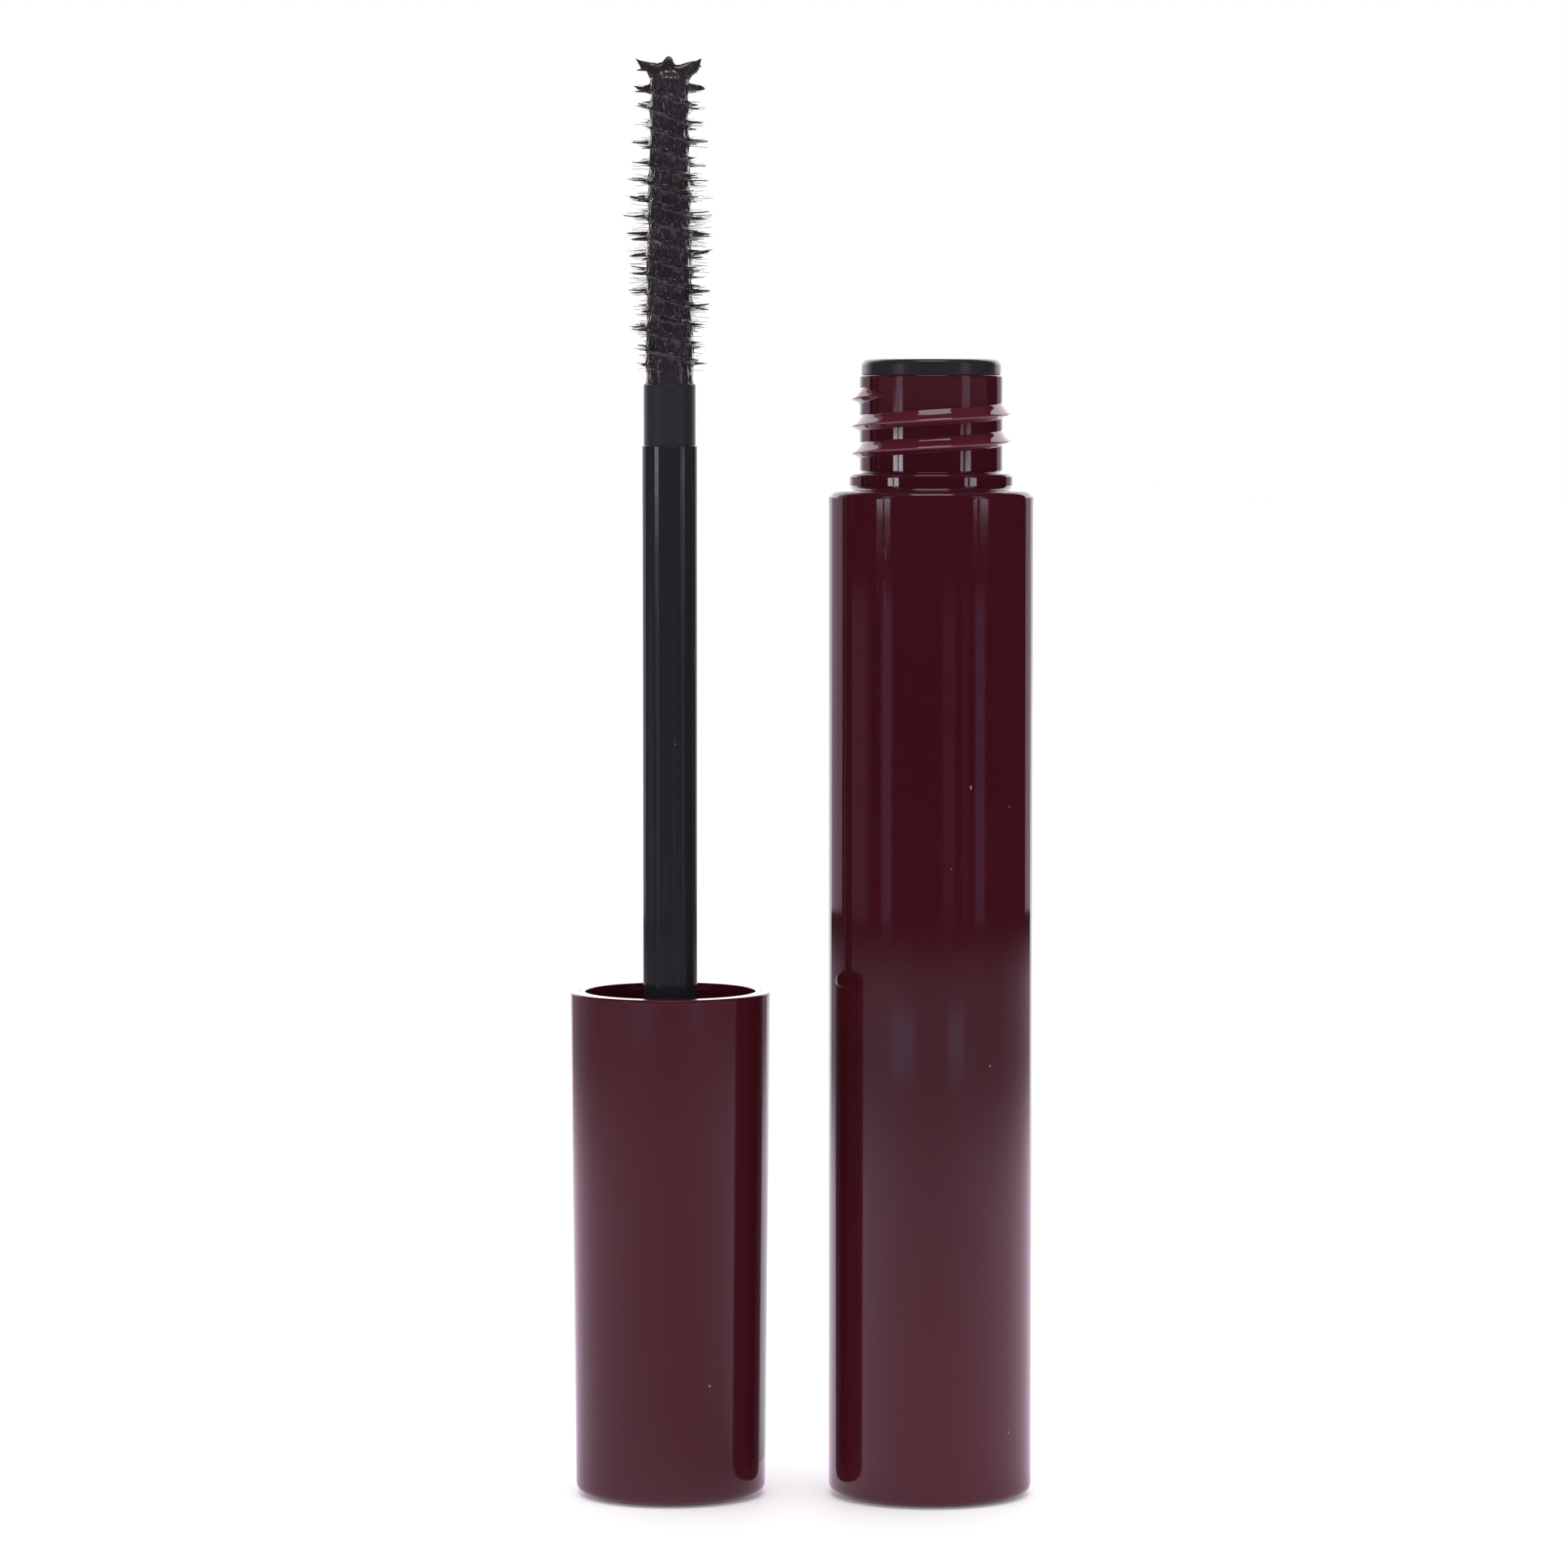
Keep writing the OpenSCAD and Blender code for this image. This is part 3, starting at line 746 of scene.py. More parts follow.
# %% Seal washer
washer_low, washer_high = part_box("seal_washer")
WASHER_R = (washer_high[0] - washer_low[0]) / 2
WASHER_HOLE_R = 2.3 * MM
WASHER_ROUND = 0.15 * MM
washer_outline = arc(WASHER_R - WASHER_ROUND, washer_low[2] + WASHER_ROUND, WASHER_ROUND, -90, 0, 4)
washer_outline += arc(WASHER_R - WASHER_ROUND, washer_high[2] - WASHER_ROUND, WASHER_ROUND, 0, 90, 4)
washer_outline += [(WASHER_HOLE_R, washer_high[2]), (WASHER_HOLE_R, washer_low[2])]
turned_piece("seal_washer", washer_outline, washer_foam, "seal", "seal_washer", WAND_X,
             loop=True)

# %% [markdown]
# ## The rod
#
# A plain bar with a snap head at the bottom, a small step near the top, and a blind hole that the
# brush's wire is staked into.

# %% Rod
STAKE_R = 0.62 * MM
SNAP_HEAD_R = 3.1 * MM
STAKE_LOW = ROD_TOP - 11 * MM
rod_outline = [(0, rod_low[2]), (2.6 * MM, rod_low[2]), (SNAP_HEAD_R, rod_low[2] + 0.5 * MM)]
rod_outline += [(SNAP_HEAD_R, BOSS_LOW), (ROD_R, BOSS_LOW)]
rod_outline += arc(ROD_R - 0.06 * MM, ROD_GLOSS_TOP - 0.06 * MM, 0.06 * MM, 0, 90, 4)
rod_outline += [(ROD_TIP_R, ROD_GLOSS_TOP + 0.02 * MM)]
rod_outline += arc(ROD_TIP_R - 0.16 * MM, ROD_TOP - 0.16 * MM, 0.16 * MM, 0, 90, 5)
rod_outline += [(STAKE_R, ROD_TOP), (STAKE_R, STAKE_LOW), (0, STAKE_LOW)]
turned_piece("wand_rod", rod_outline, rod_black, "wand", "wand_rod", WAND_X)

# %% [markdown]
# ## The brush's wire
#
# One wire is folded in half, the fibres are laid between its legs, and it is twisted: that is what
# sets the fibres out in a spiral. The same helix formula drives the legs, with a round section. The
# hand is left, so the pitch is negative. The wire stops a little short of the tip, under the paste.

# %% Twisted wire
LEAD = 2.966 * MM
WIRE_R = 0.27 * MM
WIRE_OFFSET = 0.36 * MM
WIRE_COVER = 0.8 * MM
wire_low, wire_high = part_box("brush_wire")
round_points = [(WIRE_R * math.cos(t), WIRE_R * math.sin(t)) for t in [TURN * i / 12 for i in range(12)]]
wire_section = section_curve("wire_section", round_points)
FIN_ZERO = ROD_TOP + 1.62 * MM


def fin_angle(height):
    """The angle that the fibres point at, at a height on the left-hand brush."""
    return -(height - FIN_ZERO) / LEAD * TURN


wire_top = min(wire_high[2], BRUSH_TIP - WIRE_COVER)
wire_turn = (wire_top - wire_low[2]) / LEAD * TURN
legs = []
for side in (0.25, 0.75):
    legs.append(run_tree(ridge_tree, {
        "Section": wire_section, "Wall radius": WIRE_OFFSET, "Pitch": -LEAD,
        "Start angle": fin_angle(wire_top) + side * TURN, "Turn": wire_turn,
        "Height at zero": FIN_ZERO + side * LEAD, "Fade": 0.02, "Points": 260,
        "Material": wire_steel}))
bpy.data.objects.remove(wire_section, do_unlink=True)
twisted = turned_out(joined("brush_wire", legs[0], legs[1]), wire_steel)
twisted.transform(Matrix.Translation((WAND_X, 0, 0)))
finish_piece("brush_wire", twisted, wire_steel, "wand", "brush_wire")
print("wire runs from", round(wire_low[2] / MM, 1), "to", round(wire_top / MM, 1), "mm")

# %% [markdown]
# ## The fibres
#
# A brush has about a thousand fibres, and no one should model a thousand things by hand. The tree
# puts a row of points up the wire, works out from each point's height which way the twist turns it,
# and sets one thin tapered fibre on it. Odd and even points face opposite ways, because each fibre
# passes through the wire and shows at both sides. A float curve gives the barrel outline, random
# lengths and tilts break up the rows, and a gentle noise bends neighbours together. The Cut input
# thins a row out above a height, because the lower half of the brush is the bushier one.

# %% Geometry Nodes: fibres
fibre_tree, put, out = new_group(
    "brush_fibres",
    {"Count": 1000, "Low": 0.0, "High": 1.0, "Zero height": 0.0, "Lead": 0.003, "Reach": 0.00375,
     "Shortest": 0.6, "Thickness": 0.00004, "Scatter": 0.0001, "Fan": 0.3, "Tilt": 0.1, "Bend": 0.0002,
     "Cut": 1.0, "Seed": 1, "Material": "Material"},
    {"Mesh": "Geometry"}, "GeometryNodeTree")
sums = partial(maths, fibre_tree)
BARREL = [(0.0, 0.74), (0.09, 0.81), (0.2, 0.90), (0.34, 0.96), (0.43, 1.0), (0.58, 1.0),
          (0.67, 0.94), (0.80, 0.86), (0.92, 0.79), (1.0, 0.74)]


def random_between(low, high, offset):
    """A random number for each point, with its own seed."""
    node = add(fibre_tree, "FunctionNodeRandomValue", data_type="FLOAT")
    connect(fibre_tree, [s for s in node.inputs if s.type == "VALUE" and s.enabled], {0: low, 1: high})
    connect(fibre_tree, node.inputs, {"Seed": sums("ADD", put["Seed"], float(offset))})
    return next(s for s in node.outputs if s.type == "VALUE" and s.enabled)


def either_way(most, offset):
    """A random number for each point, at most so far from zero on either side."""
    return random_between(sums("MULTIPLY", most, -1.0), most, offset)


row = step(fibre_tree, "GeometryNodeMeshLine", {"Count": put["Count"]})
index = step(fibre_tree, "GeometryNodeInputIndex")
along = sums("DIVIDE", index, sums("SUBTRACT", put["Count"], 1.0))
level = sums("MULTIPLY_ADD", along, sums("SUBTRACT", put["High"], put["Low"]), put["Low"])
jitter = either_way(put["Scatter"], 11)
spot = step(fibre_tree, "ShaderNodeCombineXYZ", {"Z": sums("ADD", level, jitter)})
stood = step(fibre_tree, "GeometryNodeSetPosition", {"Geometry": row, "Position": spot})
turns = sums("DIVIDE", sums("SUBTRACT", put["Zero height"], level), put["Lead"])
side = sums("MULTIPLY", sums("MODULO", index, 2.0), 0.5)
facing = sums("MULTIPLY", sums("ADD", turns, side), TURN)
facing = sums("ADD", facing, either_way(put["Fan"], 22))
tilt = either_way(put["Tilt"], 33)
outline = fibre_tree.nodes.new("ShaderNodeFloatCurve")
outline_points = outline.mapping.curves[0].points
for station, (x, y) in enumerate(BARREL):
    if station < 2:
        outline_points[station].location = (x, y)
    else:
        outline_points.new(x, y)
outline.mapping.update()
fibre_tree.links.new(along, outline.inputs["Value"])
share = random_between(put["Shortest"], 1.0, 44)
length = sums("MULTIPLY", sums("MULTIPLY", outline.outputs[0], put["Reach"]), share)
cone = step(fibre_tree, "GeometryNodeMeshCone",
            {"Vertices": 5, "Side Segments": 4, "Radius Top": 0.35, "Radius Bottom": 1.0, "Depth": 1.0},
            fill_type="NGON")
lying = step(fibre_tree, "GeometryNodeTransform", {"Geometry": cone, "Rotation": (0, TURN / 4, 0)})
pointing = step(fibre_tree, "ShaderNodeCombineXYZ", {"Y": tilt, "Z": facing})
turned = step(fibre_tree, "FunctionNodeEulerToRotation", {0: pointing})
size = step(fibre_tree, "ShaderNodeCombineXYZ", {"X": length, "Y": put["Thickness"], "Z": put["Thickness"]})
cut_here = sums("ADD", put["Cut"], random_between(-0.002, 0.002, 55))
chosen = sums("SUBTRACT", 1.0, sums("GREATER_THAN", level, cut_here))
placed = step(fibre_tree, "GeometryNodeInstanceOnPoints",
              {"Points": stood, "Selection": chosen, "Instance": lying, "Rotation": turned, "Scale": size})
real = step(fibre_tree, "GeometryNodeRealizeInstances", {"Geometry": placed})
where = step(fibre_tree, "GeometryNodeInputPosition")
sway = clouds(fibre_tree, where, 900.0, 2.0, output="Color")
centred = vector_maths(fibre_tree, "SUBTRACT", sway, (0.5, 0.5, 0.5))
out_by = distance_out(fibre_tree, where)
out_share = sums("POWER", sums("DIVIDE", out_by, put["Reach"]), 1.5)
much = sums("MULTIPLY", out_share, sums("MULTIPLY", put["Bend"], 2.0))
pushed = step(fibre_tree, "ShaderNodeVectorMath", {0: centred, "Scale": much}, operation="SCALE")
bent = step(fibre_tree, "GeometryNodeSetPosition", {"Geometry": real, "Offset": pushed})
coloured = step(fibre_tree, "GeometryNodeSetMaterial", {"Geometry": bent, "Material": put["Material"]})
connect(fibre_tree, out, {"Mesh": coloured})
print("tree made:", fibre_tree.name, "with", len(fibre_tree.nodes), "nodes")

# %% Fibres on the wire
FIBRE_LOW = ROD_TOP + 1.3 * MM
FIBRE_HIGH = BRUSH_TIP - 0.9 * MM
HALF_UP = ROD_TOP + 15.5 * MM
common = {"Low": FIBRE_LOW, "High": FIBRE_HIGH, "Zero height": FIN_ZERO, "Lead": LEAD,
          "Reach": BRUSH_R, "Material": bristle_black}
fine = dict(Count=430, Shortest=0.55, Thickness=0.036 * MM, Scatter=0.10 * MM, Fan=0.22, Tilt=0.05,
            Bend=0.22 * MM, Cut=1.0, Seed=7)
stray = dict(Count=680, Shortest=0.62, Thickness=0.034 * MM, Scatter=0.75 * MM, Fan=0.3, Tilt=0.14,
             Bend=0.30 * MM, Cut=HALF_UP, Seed=19)
tufts = dict(Count=130, Shortest=0.5, Thickness=0.11 * MM, Scatter=0.07 * MM, Fan=0.22, Tilt=0.06,
             Bend=0.30 * MM, Cut=1.0, Seed=31)
fine_mesh, stray_mesh, tuft_mesh = [run_tree(fibre_tree, common | kind) for kind in (fine, stray, tufts)]
fibres = joined("brush_fibres", joined("part", fine_mesh, stray_mesh), tuft_mesh)
fibres.materials.append(bristle_black)
fibres.transform(Matrix.Translation((WAND_X, 0, 0)))
finish_piece("brush_fibres", fibres, bristle_black, "wand", "brush_bristles", 60)

# %% [markdown]
# ## The mascara on the brush
#
# The paste fills the brush round the wire and climbs a little way up each row of fibres, as wet
# paste does on anything that pokes through it. Its surface is a radius for each angle and height, so
# it is a grid wrapped round the axis: a core, a low ridge along the two spirals, spikes where a few
# fibres are glued into one, upright streaks, and a rounded top.

# %% Paste on the brush
PASTE_ROWS = 480
PASTE_TURNS = 240
PASTE_LOW = ROD_TOP
PASTE_HIGH = BRUSH_TIP - 1.0 * MM
NECK_ABOVE = 1.9 * MM
CORE = [(0.0, 1.95), (0.04, 1.93), (0.075, 1.98), (0.35, 1.90), (0.55, 1.82), (0.8, 1.64), (0.96, 1.60),
        (1.0, 1.0)]


def between_stations(stations, share):
    """Reads a value off a short list of (share, value) stations."""
    for (x0, y0), (x1, y1) in zip(stations, stations[1:]):
        if share <= x1:
            k = (share - x0) / (x1 - x0)
            return y0 + (y1 - y0) * k * k * (3 - 2 * k)
    return stations[-1][1]


def smooth(low, high, value):
    """0 below low, 1 above high, and a smooth step between."""
    k = min(1.0, max(0.0, (value - low) / (high - low)))
    return k * k * (3 - 2 * k)


def paste_radius(turn, height):
    """How far the paste reaches from the wire at an angle and a height."""
    share = (height - PASTE_LOW) / (PASTE_HIGH - PASTE_LOW)
    core = between_stations(CORE, share) * MM
    spot = Vector((1.9 * math.cos(turn), 1.9 * math.sin(turn), height / MM))
    wet = smooth(NECK_ABOVE - 0.9 * MM, NECK_ABOVE, height - PASTE_LOW)
    upright = Vector((spot.x * 3.6, spot.y * 3.6, spot.z * 1.2))
    lumps = 0.10 * noise.noise(spot * 0.8) + 0.02 * noise.noise(spot * 2.6) + 0.07 * noise.noise(upright)
    rows = ((height - FIN_ZERO) / LEAD + turn / TURN) * 2
    off = (rows - round(rows)) * LEAD / 2 / MM
    off += 0.07 * noise.noise(spot * 1.3 + Vector((9, 0, 0)))
    climb = 0.25 + 0.22 * noise.noise(spot * 1.1 + Vector((0, 5, 0)))
    glued = noise.noise(Vector((spot.x * 1.9, spot.y * 1.9, spot.z * 0.9)) + Vector((3, 7, 0)))
    spike = 1.3 * smooth(0.12, 0.50, glued)
    calm = 1 - smooth(PASTE_HIGH - 2.2 * MM, PASTE_HIGH - 1.2 * MM, height)
    ridge = climb / (1 + (off / 0.15) ** 2) - 0.09
    ridge += spike * math.exp(-(off / 0.085) ** 2)
    return max(0.4 * MM, core + wet * (lumps + ridge * calm) * MM)


def add_sleeve(bm, rings, low_pole, high_pole):
    """Joins rings of points, given as lists, into one closed skin with a pole at each end."""
    levels = [[bm.verts.new(point) for point in ring] for ring in [[low_pole], *rings, [high_pole]]]
    skin(bm, levels, len(rings[0]))


paste_bm = bmesh.new()
rings = []
for row_number in range(PASTE_ROWS + 1):
    height = PASTE_LOW + (PASTE_HIGH - PASTE_LOW) * row_number / PASTE_ROWS
    ring = []
    for part in range(PASTE_TURNS):
        turn = TURN * part / PASTE_TURNS
        reach = paste_radius(turn, height)
        ring.append((reach * math.cos(turn), reach * math.sin(turn), height))
    rings.append(ring)
add_sleeve(paste_bm, rings, (0, 0, PASTE_LOW), (0, 0, PASTE_HIGH + 0.05 * MM))

# %% [markdown]
# At the tip the paste was pulled off the wiper as a web: a thin film with ragged corners, and a
# small peak over the wire. The row below it is clotted into thick blades. Each is a film given by
# stations across the brush, with a low edge, a high edge and half a thickness at each station.
# All are in millimetres from the brush's tip.

# %% Films of paste near the tip
CROWN = [(-2.70, -0.26, -0.20, 0.02), (-2.45, -0.66, -0.31, 0.06), (-2.25, -1.12, -0.36, 0.08),
         (-1.85, -1.20, -0.43, 0.14), (-1.55, -1.90, -0.47, 0.40), (-0.95, -2.20, -0.55, 0.62),
         (-0.60, -2.20, -0.45, 0.60), (-0.38, -2.20, -0.18, 0.50), (-0.15, -2.20, 0.00, 0.42),
         (0.12, -2.20, -0.03, 0.42), (0.30, -2.20, -0.22, 0.50), (0.46, -2.20, -0.60, 0.60),
         (0.66, -2.20, -0.68, 0.65), (1.30, -2.20, -0.52, 0.55), (1.60, -2.00, -0.46, 0.40),
         (1.92, -1.50, -0.40, 0.16), (2.25, -1.28, -0.33, 0.10), (2.45, -0.92, -0.24, 0.06),
         (2.58, -0.30, -0.18, 0.02)]
LEFT_BLADE = [(-2.85, -2.46, -2.42, 0.02), (-2.60, -2.62, -2.40, 0.06), (-2.20, -2.86, -2.46, 0.09),
              (-1.80, -2.98, -2.32, 0.14), (-1.50, -3.10, -2.10, 0.22), (-1.10, -3.10, -2.10, 0.30)]
RIGHT_BLADE = [(1.10, -3.00, -2.00, 0.30), (1.50, -2.86, -2.10, 0.22), (1.80, -2.76, -2.20, 0.15),
               (2.20, -2.80, -2.27, 0.13), (2.50, -2.80, -2.33, 0.12), (2.75, -2.74, -2.46, 0.09),
               (2.88, -2.66, -2.58, 0.03)]
FILM_STEPS = 6
FILM_SIDES = 20
SPIKE_STEPS = 7
SPIKE_SIDES = 8


def add_film(bm, stations):
    """A closed film of paste across the brush, from its stations."""
    rings = []
    for first, second in zip(stations, stations[1:]):
        for i in range(FILM_STEPS):
            k = i / FILM_STEPS
            across, low, high, thick = [a + (b - a) * k for a, b in zip(first, second)]
            rough = 0.03 * noise.noise(Vector((across * 6, low, thick)))
            middle, half = (low + high) / 2 + rough, (high - low) / 2
            ring = []
            for side in range(FILM_SIDES):
                t = TURN * side / FILM_SIDES
                height = BRUSH_TIP + (middle + half * math.sin(t)) * MM
                ring.append((across * MM, thick * math.cos(t) * MM, height))
            rings.append(ring)
    poles = []
    for across, low, high, thick in (stations[0], stations[-1]):
        poles.append(((across + math.copysign(0.03, across)) * MM, 0, BRUSH_TIP + (low + high) / 2 * MM))
    add_sleeve(bm, rings, poles[0], poles[1])


def add_spike(bm, root, tip, thick):
    """A pointed strand of paste from root to tip, both (across, depth, height) from the brush's tip."""
    rings = []
    for i in range(SPIKE_STEPS):
        k = i / SPIKE_STEPS
        place = [(a + (b - a) * k) * MM for a, b in zip(root, tip)]
        size = (thick * (1 - k) ** 0.7 + 0.02) * MM
        rings.append([(place[0], place[1] + size * math.cos(t), BRUSH_TIP + place[2] + size * math.sin(t))
                      for t in [TURN * side / SPIKE_SIDES for side in range(SPIKE_SIDES)]])
    add_sleeve(bm, rings, (root[0] * MM, root[1] * MM, BRUSH_TIP + root[2] * MM),
               (tip[0] * MM, tip[1] * MM, BRUSH_TIP + tip[2] * MM))


for stations in (CROWN, LEFT_BLADE, RIGHT_BLADE):
    add_film(paste_bm, stations)
for root, tip, thick in [
        ((-1.9, 0, -1.08), (-2.66, 0, -1.13), 0.12), ((-2.2, 0, -0.45), (-2.55, 0, -0.62), 0.07),
        ((2.1, 0, -0.70), (2.64, 0, -0.84), 0.14), ((1.9, 0, -1.15), (2.42, 0, -1.10), 0.12),
        ((1.7, 0, -1.45), (2.08, 0, -1.42), 0.08), ((-1.9, 0, -2.80), (-2.80, 0, -2.86), 0.12),
        ((-1.5, 0, -14.3), (-3.55, 0.1, -14.25), 0.20), ((-1.5, 0, -14.7), (-3.2, 0.2, -14.75), 0.20),
        ((1.5, 0, -14.2), (3.40, 0.1, -14.35), 0.17), ((-1.5, 0, -15.9), (-3.3, 0.1, -16.1), 0.24),
        ((1.5, 0, -15.9), (3.30, -0.1, -15.75), 0.22), ((1.5, 0, -16.0), (3.55, 0, -15.55), 0.13),
        ((1.5, 0, -19.0), (3.35, 0.1, -18.85), 0.16), ((1.5, 0.2, -20.2), (3.30, 0.2, -19.95), 0.14)]:
    add_spike(paste_bm, root, tip, thick)
bmesh.ops.recalc_face_normals(paste_bm, faces=paste_bm.faces)
paste_mesh = mesh_of("mascara_on_brush", paste_bm)
paste_mesh.transform(Matrix.Translation((WAND_X, 0, 0)))
finish_piece("mascara_on_brush", paste_mesh, paste_black, "wand", "brush_load", 80)

# %% [markdown]
# ## The stage
#
# A pale floor and an even, pale surround give soft light from everywhere. Glossy plastic shows its
# shape only through what it mirrors, so for reflections alone the room is dark in front and above,
# and pale behind. A bright table, long streaks on the floor, two tall lamps, some low panels and a
# glow at the back draw the lines on the plastic.

# %% Floor and surround
FLOOR_R = 4.0
FLOOR_SINK = 0.1 * MM
floor = in_scene("floor", lathe_mesh("floor", [(0, -FLOOR_SINK), (FLOOR_R, -FLOOR_SINK)]))
floor_paper, tree, shader = start_material("floor_paper", Roughness=0.6, Specular_IOR_Level=0.2,
                                           Emission_Color=(1.0, 1.0, 1.0, 1.0), Emission_Strength=0.17)
pulp = clouds(tree, own_place(tree), 300.0, 4.0)
paper = mix_colours(tree, pulp, (0.89, 0.89, 0.90, 1.0), (0.91, 0.91, 0.91, 1.0))
connect(tree, shader.inputs, {"Base Color": paper})
floor.data.materials.append(floor_paper)

world = bpy.data.worlds.new("surround")
world.use_nodes = True
connect(world.node_tree, world.node_tree.nodes["Background"].inputs,
        {"Color": (1.0, 1.0, 1.0, 1.0), "Strength": 1.0})
bpy.context.scene.world = world
bpy.context.scene.view_settings.view_transform = "Standard"
print("floor is", 2 * FLOOR_R, "m wide")

# %% [markdown]
# ## Cards that only reflections see
#
# Each card is a piece of a ring about the tube: flat on the floor, or standing as a wall. A small
# node group tells a card how far round and how far out a spot is, so that a glow can fade softly at
# its sides, and the table can grow brighter towards the back and dimmer further out.

# %% Node group: place about the tube
round_group, put, out = new_group("place_about_tube", {"Middle": 0.0, "Half width": 0.2},
                                  {"Out": "Float", "Back": "Float", "Glow": "Float"})
sums = partial(maths, round_group)
place = own_place(round_group)
split = add(round_group, "ShaderNodeSeparateXYZ", {"Vector": place}).outputs
out_by = distance_out(round_group, place)
back = sums("DIVIDE", split["Y"], sums("MAXIMUM", out_by, 0.001))
bearing = sums("ARCTAN2", split["X"], sums("MULTIPLY", split["Y"], -1.0))
aside = sums("ABSOLUTE", sums("SUBTRACT", bearing, put["Middle"]))
glow = ramp(round_group, sums("DIVIDE", aside, put["Half width"]), 0.35, 1.0, 1.0, 0.0, soft=True)
connect(round_group, out, {"Out": out_by, "Back": back, "Glow": glow})
print("group made:", round_group.name)


# %% Helpers for cards
def sector(name, inner, outer, low, high, start, end, steps=48):
    """A piece of a ring about the tube, between two bearings in degrees from the front."""
    bm = bmesh.new()
    pairs = []
    for i in range(steps + 1):
        a = math.radians(-90 + start + (end - start) * i / steps)
        pairs.append((bm.verts.new((inner * math.cos(a), inner * math.sin(a), low)),
                      bm.verts.new((outer * math.cos(a), outer * math.sin(a), high))))
    for (a, b), (c, d) in zip(pairs, pairs[1:]):
        bm.faces.new((a, c, d, b))
    return mesh_of(name, bm)


def card(mesh, colour, strength):
    """A dark or glowing surface that only mirrors see. Returns its node tree and its glow."""
    material = bpy.data.materials.new(mesh.name)
    material.use_nodes = True
    tree = material.node_tree
    tree.nodes.remove(tree.nodes["Principled BSDF"])
    glow = add(tree, "ShaderNodeEmission", {"Color": colour, "Strength": strength})
    connect(tree, tree.nodes["Material Output"].inputs, {"Surface": glow.outputs[0]})
    mesh.materials.append(material)
    thing = in_scene(mesh.name, mesh)
    for ray in ("camera", "diffuse", "shadow", "transmission"):
        setattr(thing, "visible_" + ray, False)
    return tree, glow


def glow_about(tree, middle, half_width):
    """A glow that is 1 at a bearing in degrees and fades towards its two sides."""
    angles = {"Middle": math.radians(middle), "Half width": math.radians(half_width)}
    return use_group(tree, round_group, **angles)["Glow"]


def soft_card(mesh, colour, strength, middle, half_width):
    """A card whose glow fades towards its two sides."""
    tree, glow = card(mesh, colour, strength)
    level = maths(tree, "MULTIPLY", glow_about(tree, middle, half_width), strength)
    connect(tree, glow.inputs, {"Strength": level})


# %% The dark room, for reflections
DARK = (0.010, 0.009, 0.010, 1.0)
LAVENDER = (1.0, 0.80, 0.98, 1.0)
VIOLET = (0.80, 0.52, 1.0, 1.0)
ROOM_R = 2.2
ROOM_H = 2.4
LEFT_END = -120
RIGHT_END = 133
FLAT = 1.0 * MM
TABLE_FULL = 0.17
TABLE_DIM = 0.34
TABLE_FALL = 0.41
TABLE_END = 0.55
card(sector("dark_wall", ROOM_R, ROOM_R, 0.0, ROOM_H, LEFT_END, RIGHT_END), DARK, 1.0)
card(sector("dim_roof", 0.0, ROOM_R, ROOM_H, ROOM_H, -180, 180), LAVENDER, 0.10)
card(sector("dark_floor", TABLE_END, ROOM_R, FLAT, FLAT, LEFT_END, RIGHT_END), DARK, 1.0)
for name, start, end in (("left_haze", -150, LEFT_END), ("right_haze", RIGHT_END, 152)):
    card(sector(name + "_wall", ROOM_R, ROOM_R, 0.0, ROOM_H, start, end), LAVENDER, 0.6)
    card(sector(name + "_floor", TABLE_END, ROOM_R, FLAT, FLAT, start, end), LAVENDER, 0.6)
print("the dark room is", 2 * ROOM_R, "m wide")

# %% The table, for reflections
TABLE_LEVEL = 1.06
MORE_AT_BACK = 0.50
FAR_LEVEL = 0.33
MORE_AHEAD = 0.27
PATCHES_OUT = 0.36
PATCH_FULL = 0.025
PATCH_END = 0.06
PATCH_GAIN = 0.22
BLUISH = (0.80, 0.86, 1.25, 1.0)
TABLE_SIDE = 152
TABLE_R = TABLE_END + 0.01
TABLE_Z = 0.2 * MM
tree, glow = card(sector("table", 0.0, TABLE_R, TABLE_Z, TABLE_Z, -TABLE_SIDE, TABLE_SIDE), LAVENDER, 1.0)
sums = partial(maths, tree)
about = use_group(tree, round_group)
level = sums("MULTIPLY_ADD", about["Back"], MORE_AT_BACK, TABLE_LEVEL)
far_level = sums("MULTIPLY_ADD", glow_about(tree, -8, 92), MORE_AHEAD, FAR_LEVEL)
dimmer = ramp(tree, about["Out"], TABLE_FULL, TABLE_DIM, 1.0, far_level, soft=True)
fade = ramp(tree, about["Out"], TABLE_FALL, TABLE_END, 1.0, 0.02, soft=True)
level = sums("MULTIPLY", sums("MULTIPLY", level, dimmer), fade)
off_ring = sums("ABSOLUTE", sums("SUBTRACT", about["Out"], PATCHES_OUT))
ring = ramp(tree, off_ring, PATCH_FULL, PATCH_END, 1.0, 0.0, soft=True)
left_patch = sums("MULTIPLY", glow_about(tree, -32, 20), ring)
right_patch = sums("MULTIPLY", glow_about(tree, 28, 13), ring)
blue_share = sums("ADD", left_patch, right_patch)
connect(tree, glow.inputs, {"Color": mix_colours(tree, blue_share, LAVENDER, BLUISH),
                            "Strength": sums("MULTIPLY_ADD", blue_share, PATCH_GAIN, level)})
print("table reaches", TABLE_END, "m from the tube")

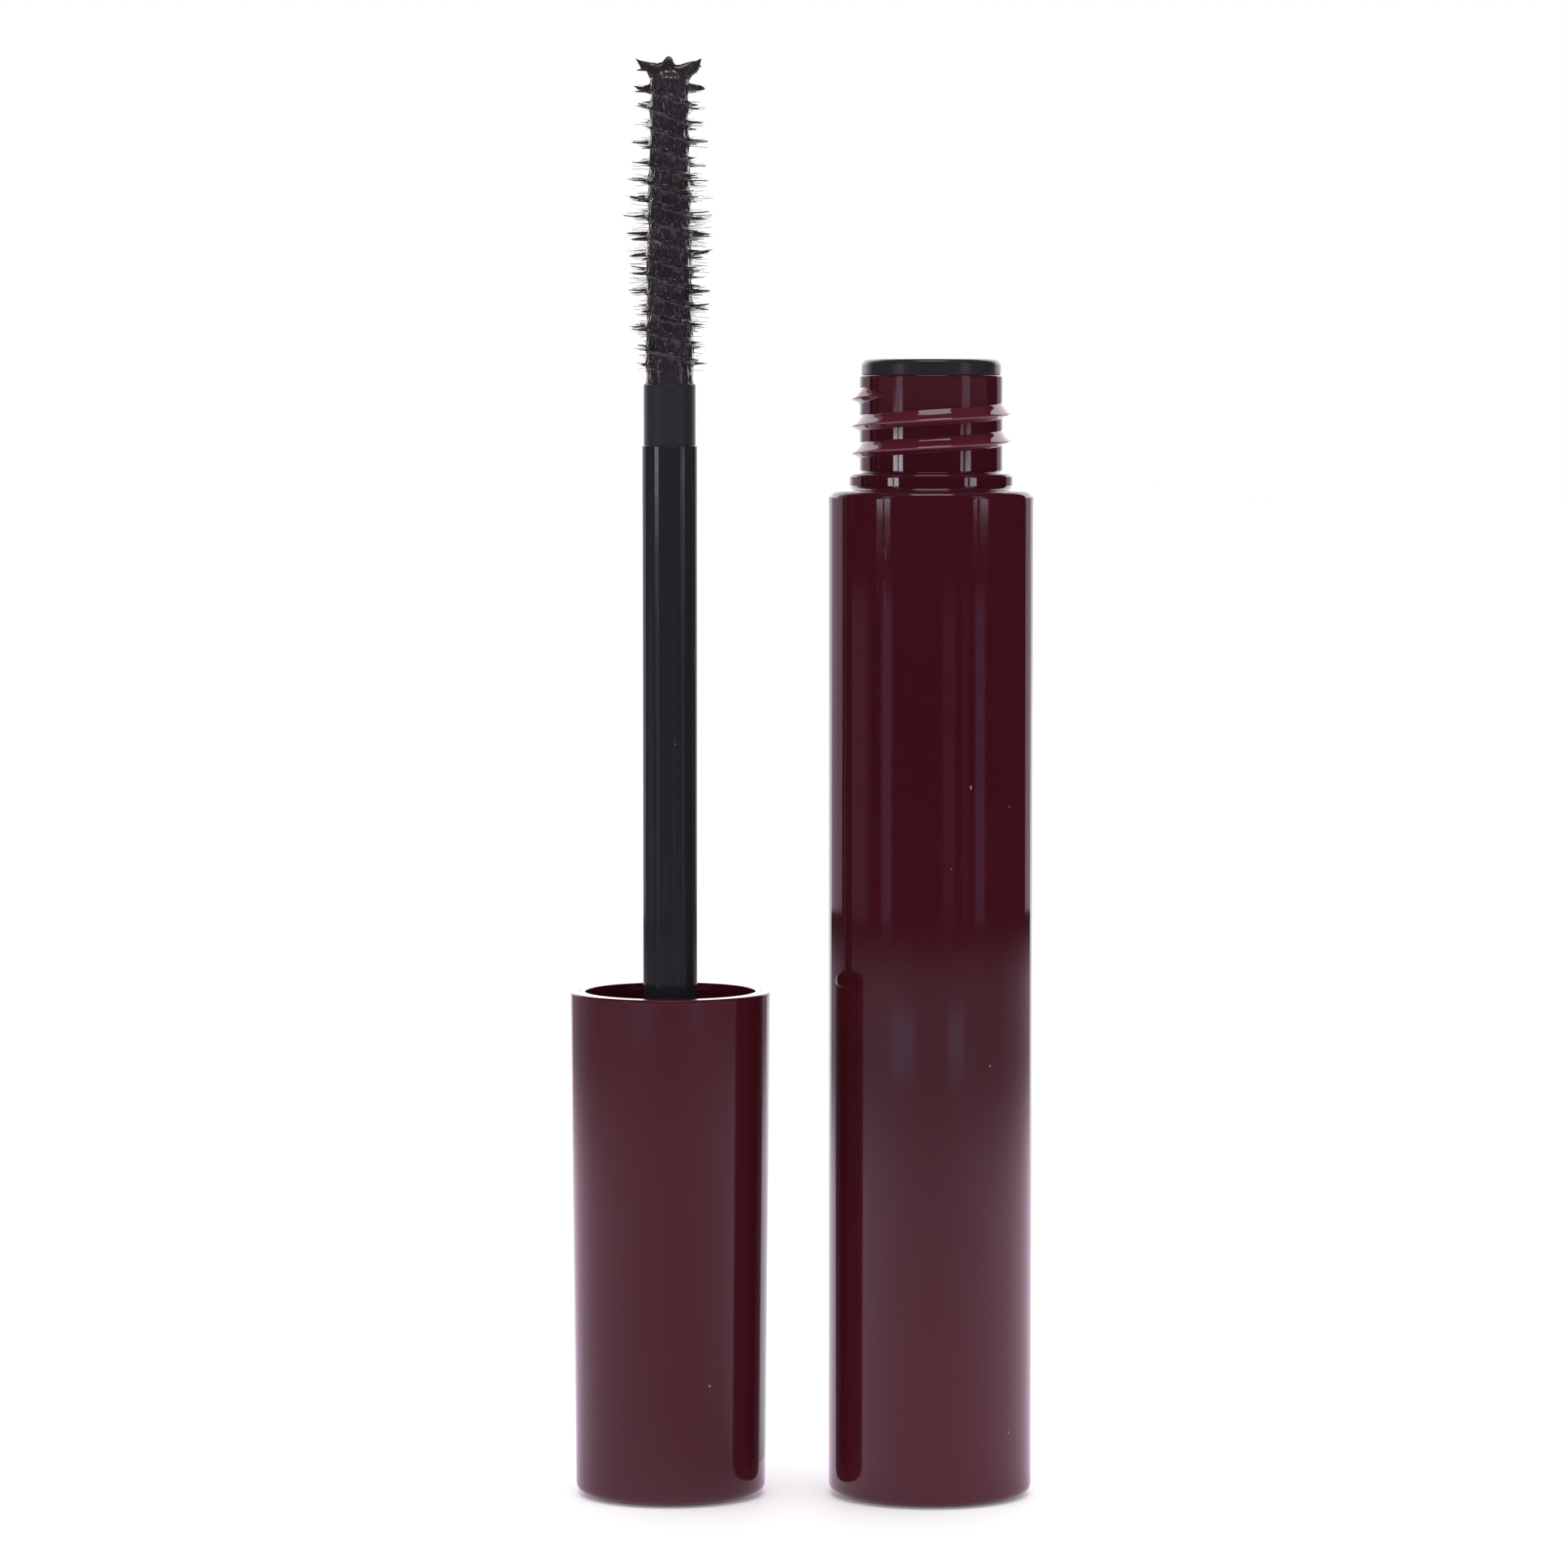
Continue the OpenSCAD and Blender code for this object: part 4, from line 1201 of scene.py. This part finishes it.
# %% Panels and glows, for reflections
PANEL_R = 1.5
for name, middle, half_width, strength, colour in (
        ("left_streak", -52, 9, 0.42, VIOLET), ("right_streak", 56, 9, 0.36, VIOLET),
        ("middle_streak", 19, 10, 0.17, VIOLET), ("thin_streak", 38, 6, 0.12, VIOLET),
        ("far_left_streak", -90, 21, 0.20, (1.0, 0.80, 0.85, 1.0))):
    soft_card(sector(name, TABLE_END - 0.02, ROOM_R - 0.1, 1.4 * MM, 1.4 * MM,
                     middle - half_width, middle + half_width), colour, strength, middle, half_width)
LEVEL_R = ROOM_R - 0.05
card(sector("level_glow", LEVEL_R, LEVEL_R, 0.079, 0.101, -100, 100), (1.0, 0.62, 0.80, 1.0), 0.22)
PANEL_TINT = (0.92, 0.88, 1.0, 1.0)
for name, start, end, low, high, strength in (
        ("left_panel_a", -65, -57, 0.054, 0.074, 7.5), ("left_panel_b", -55, -48, 0.054, 0.074, 8.5),
        ("right_panel_a", 47, 52, 0.054, 0.063, 4.5), ("right_panel_b", 55, 66, 0.054, 0.063, 5.5),
        ("right_panel_c", 47, 52, 0.064, 0.074, 2.2), ("right_panel_d", 58, 66, 0.064, 0.074, 2.4)):
    card(sector(name, PANEL_R, PANEL_R, low, high, start, end), PANEL_TINT, strength)
card(sector("back_glow", PANEL_R, PANEL_R, 0.10, 1.5, 132, 228), (1.0, 0.96, 1.0, 1.0), 2.4)


# %% Lamps
LAMP_HEIGHT = 0.64


def lamp(name, place, aim, width, height, radiance, colour):
    """A rectangular lamp given by how bright its face looks."""
    data = bpy.data.lights.new(name, "AREA")
    data.shape = "RECTANGLE"
    data.size, data.size_y = width, height
    data.energy = radiance * math.pi * width * height
    data.color = colour
    thing = in_scene(name, data)
    thing.location = place
    thing.rotation_euler = (Vector(aim) - Vector(place)).to_track_quat("-Z", "Y").to_euler()
    thing.visible_camera = False


for name, turn, wide, radiance, colour in (("lamp_left", -54, 0.28, 0.85, (0.88, 0.70, 1)),
                                           ("lamp_right", 57, 0.36, 0.75, (0.88, 0.72, 1))):
    angle = math.radians(turn - 90)
    spot = (PANEL_R * math.cos(angle), PANEL_R * math.sin(angle), LAMP_HEIGHT)
    lamp(name, spot, (0, 0, LAMP_HEIGHT), wide, 1.12, radiance, colour)
lamp("lamp_over", (0.0, -0.45, 1.4), (0, 0, 0.06), 0.8, 0.5, 3.3, (0.98, 0.94, 1))
print("stage made with", len(bpy.data.lights), "lamps")
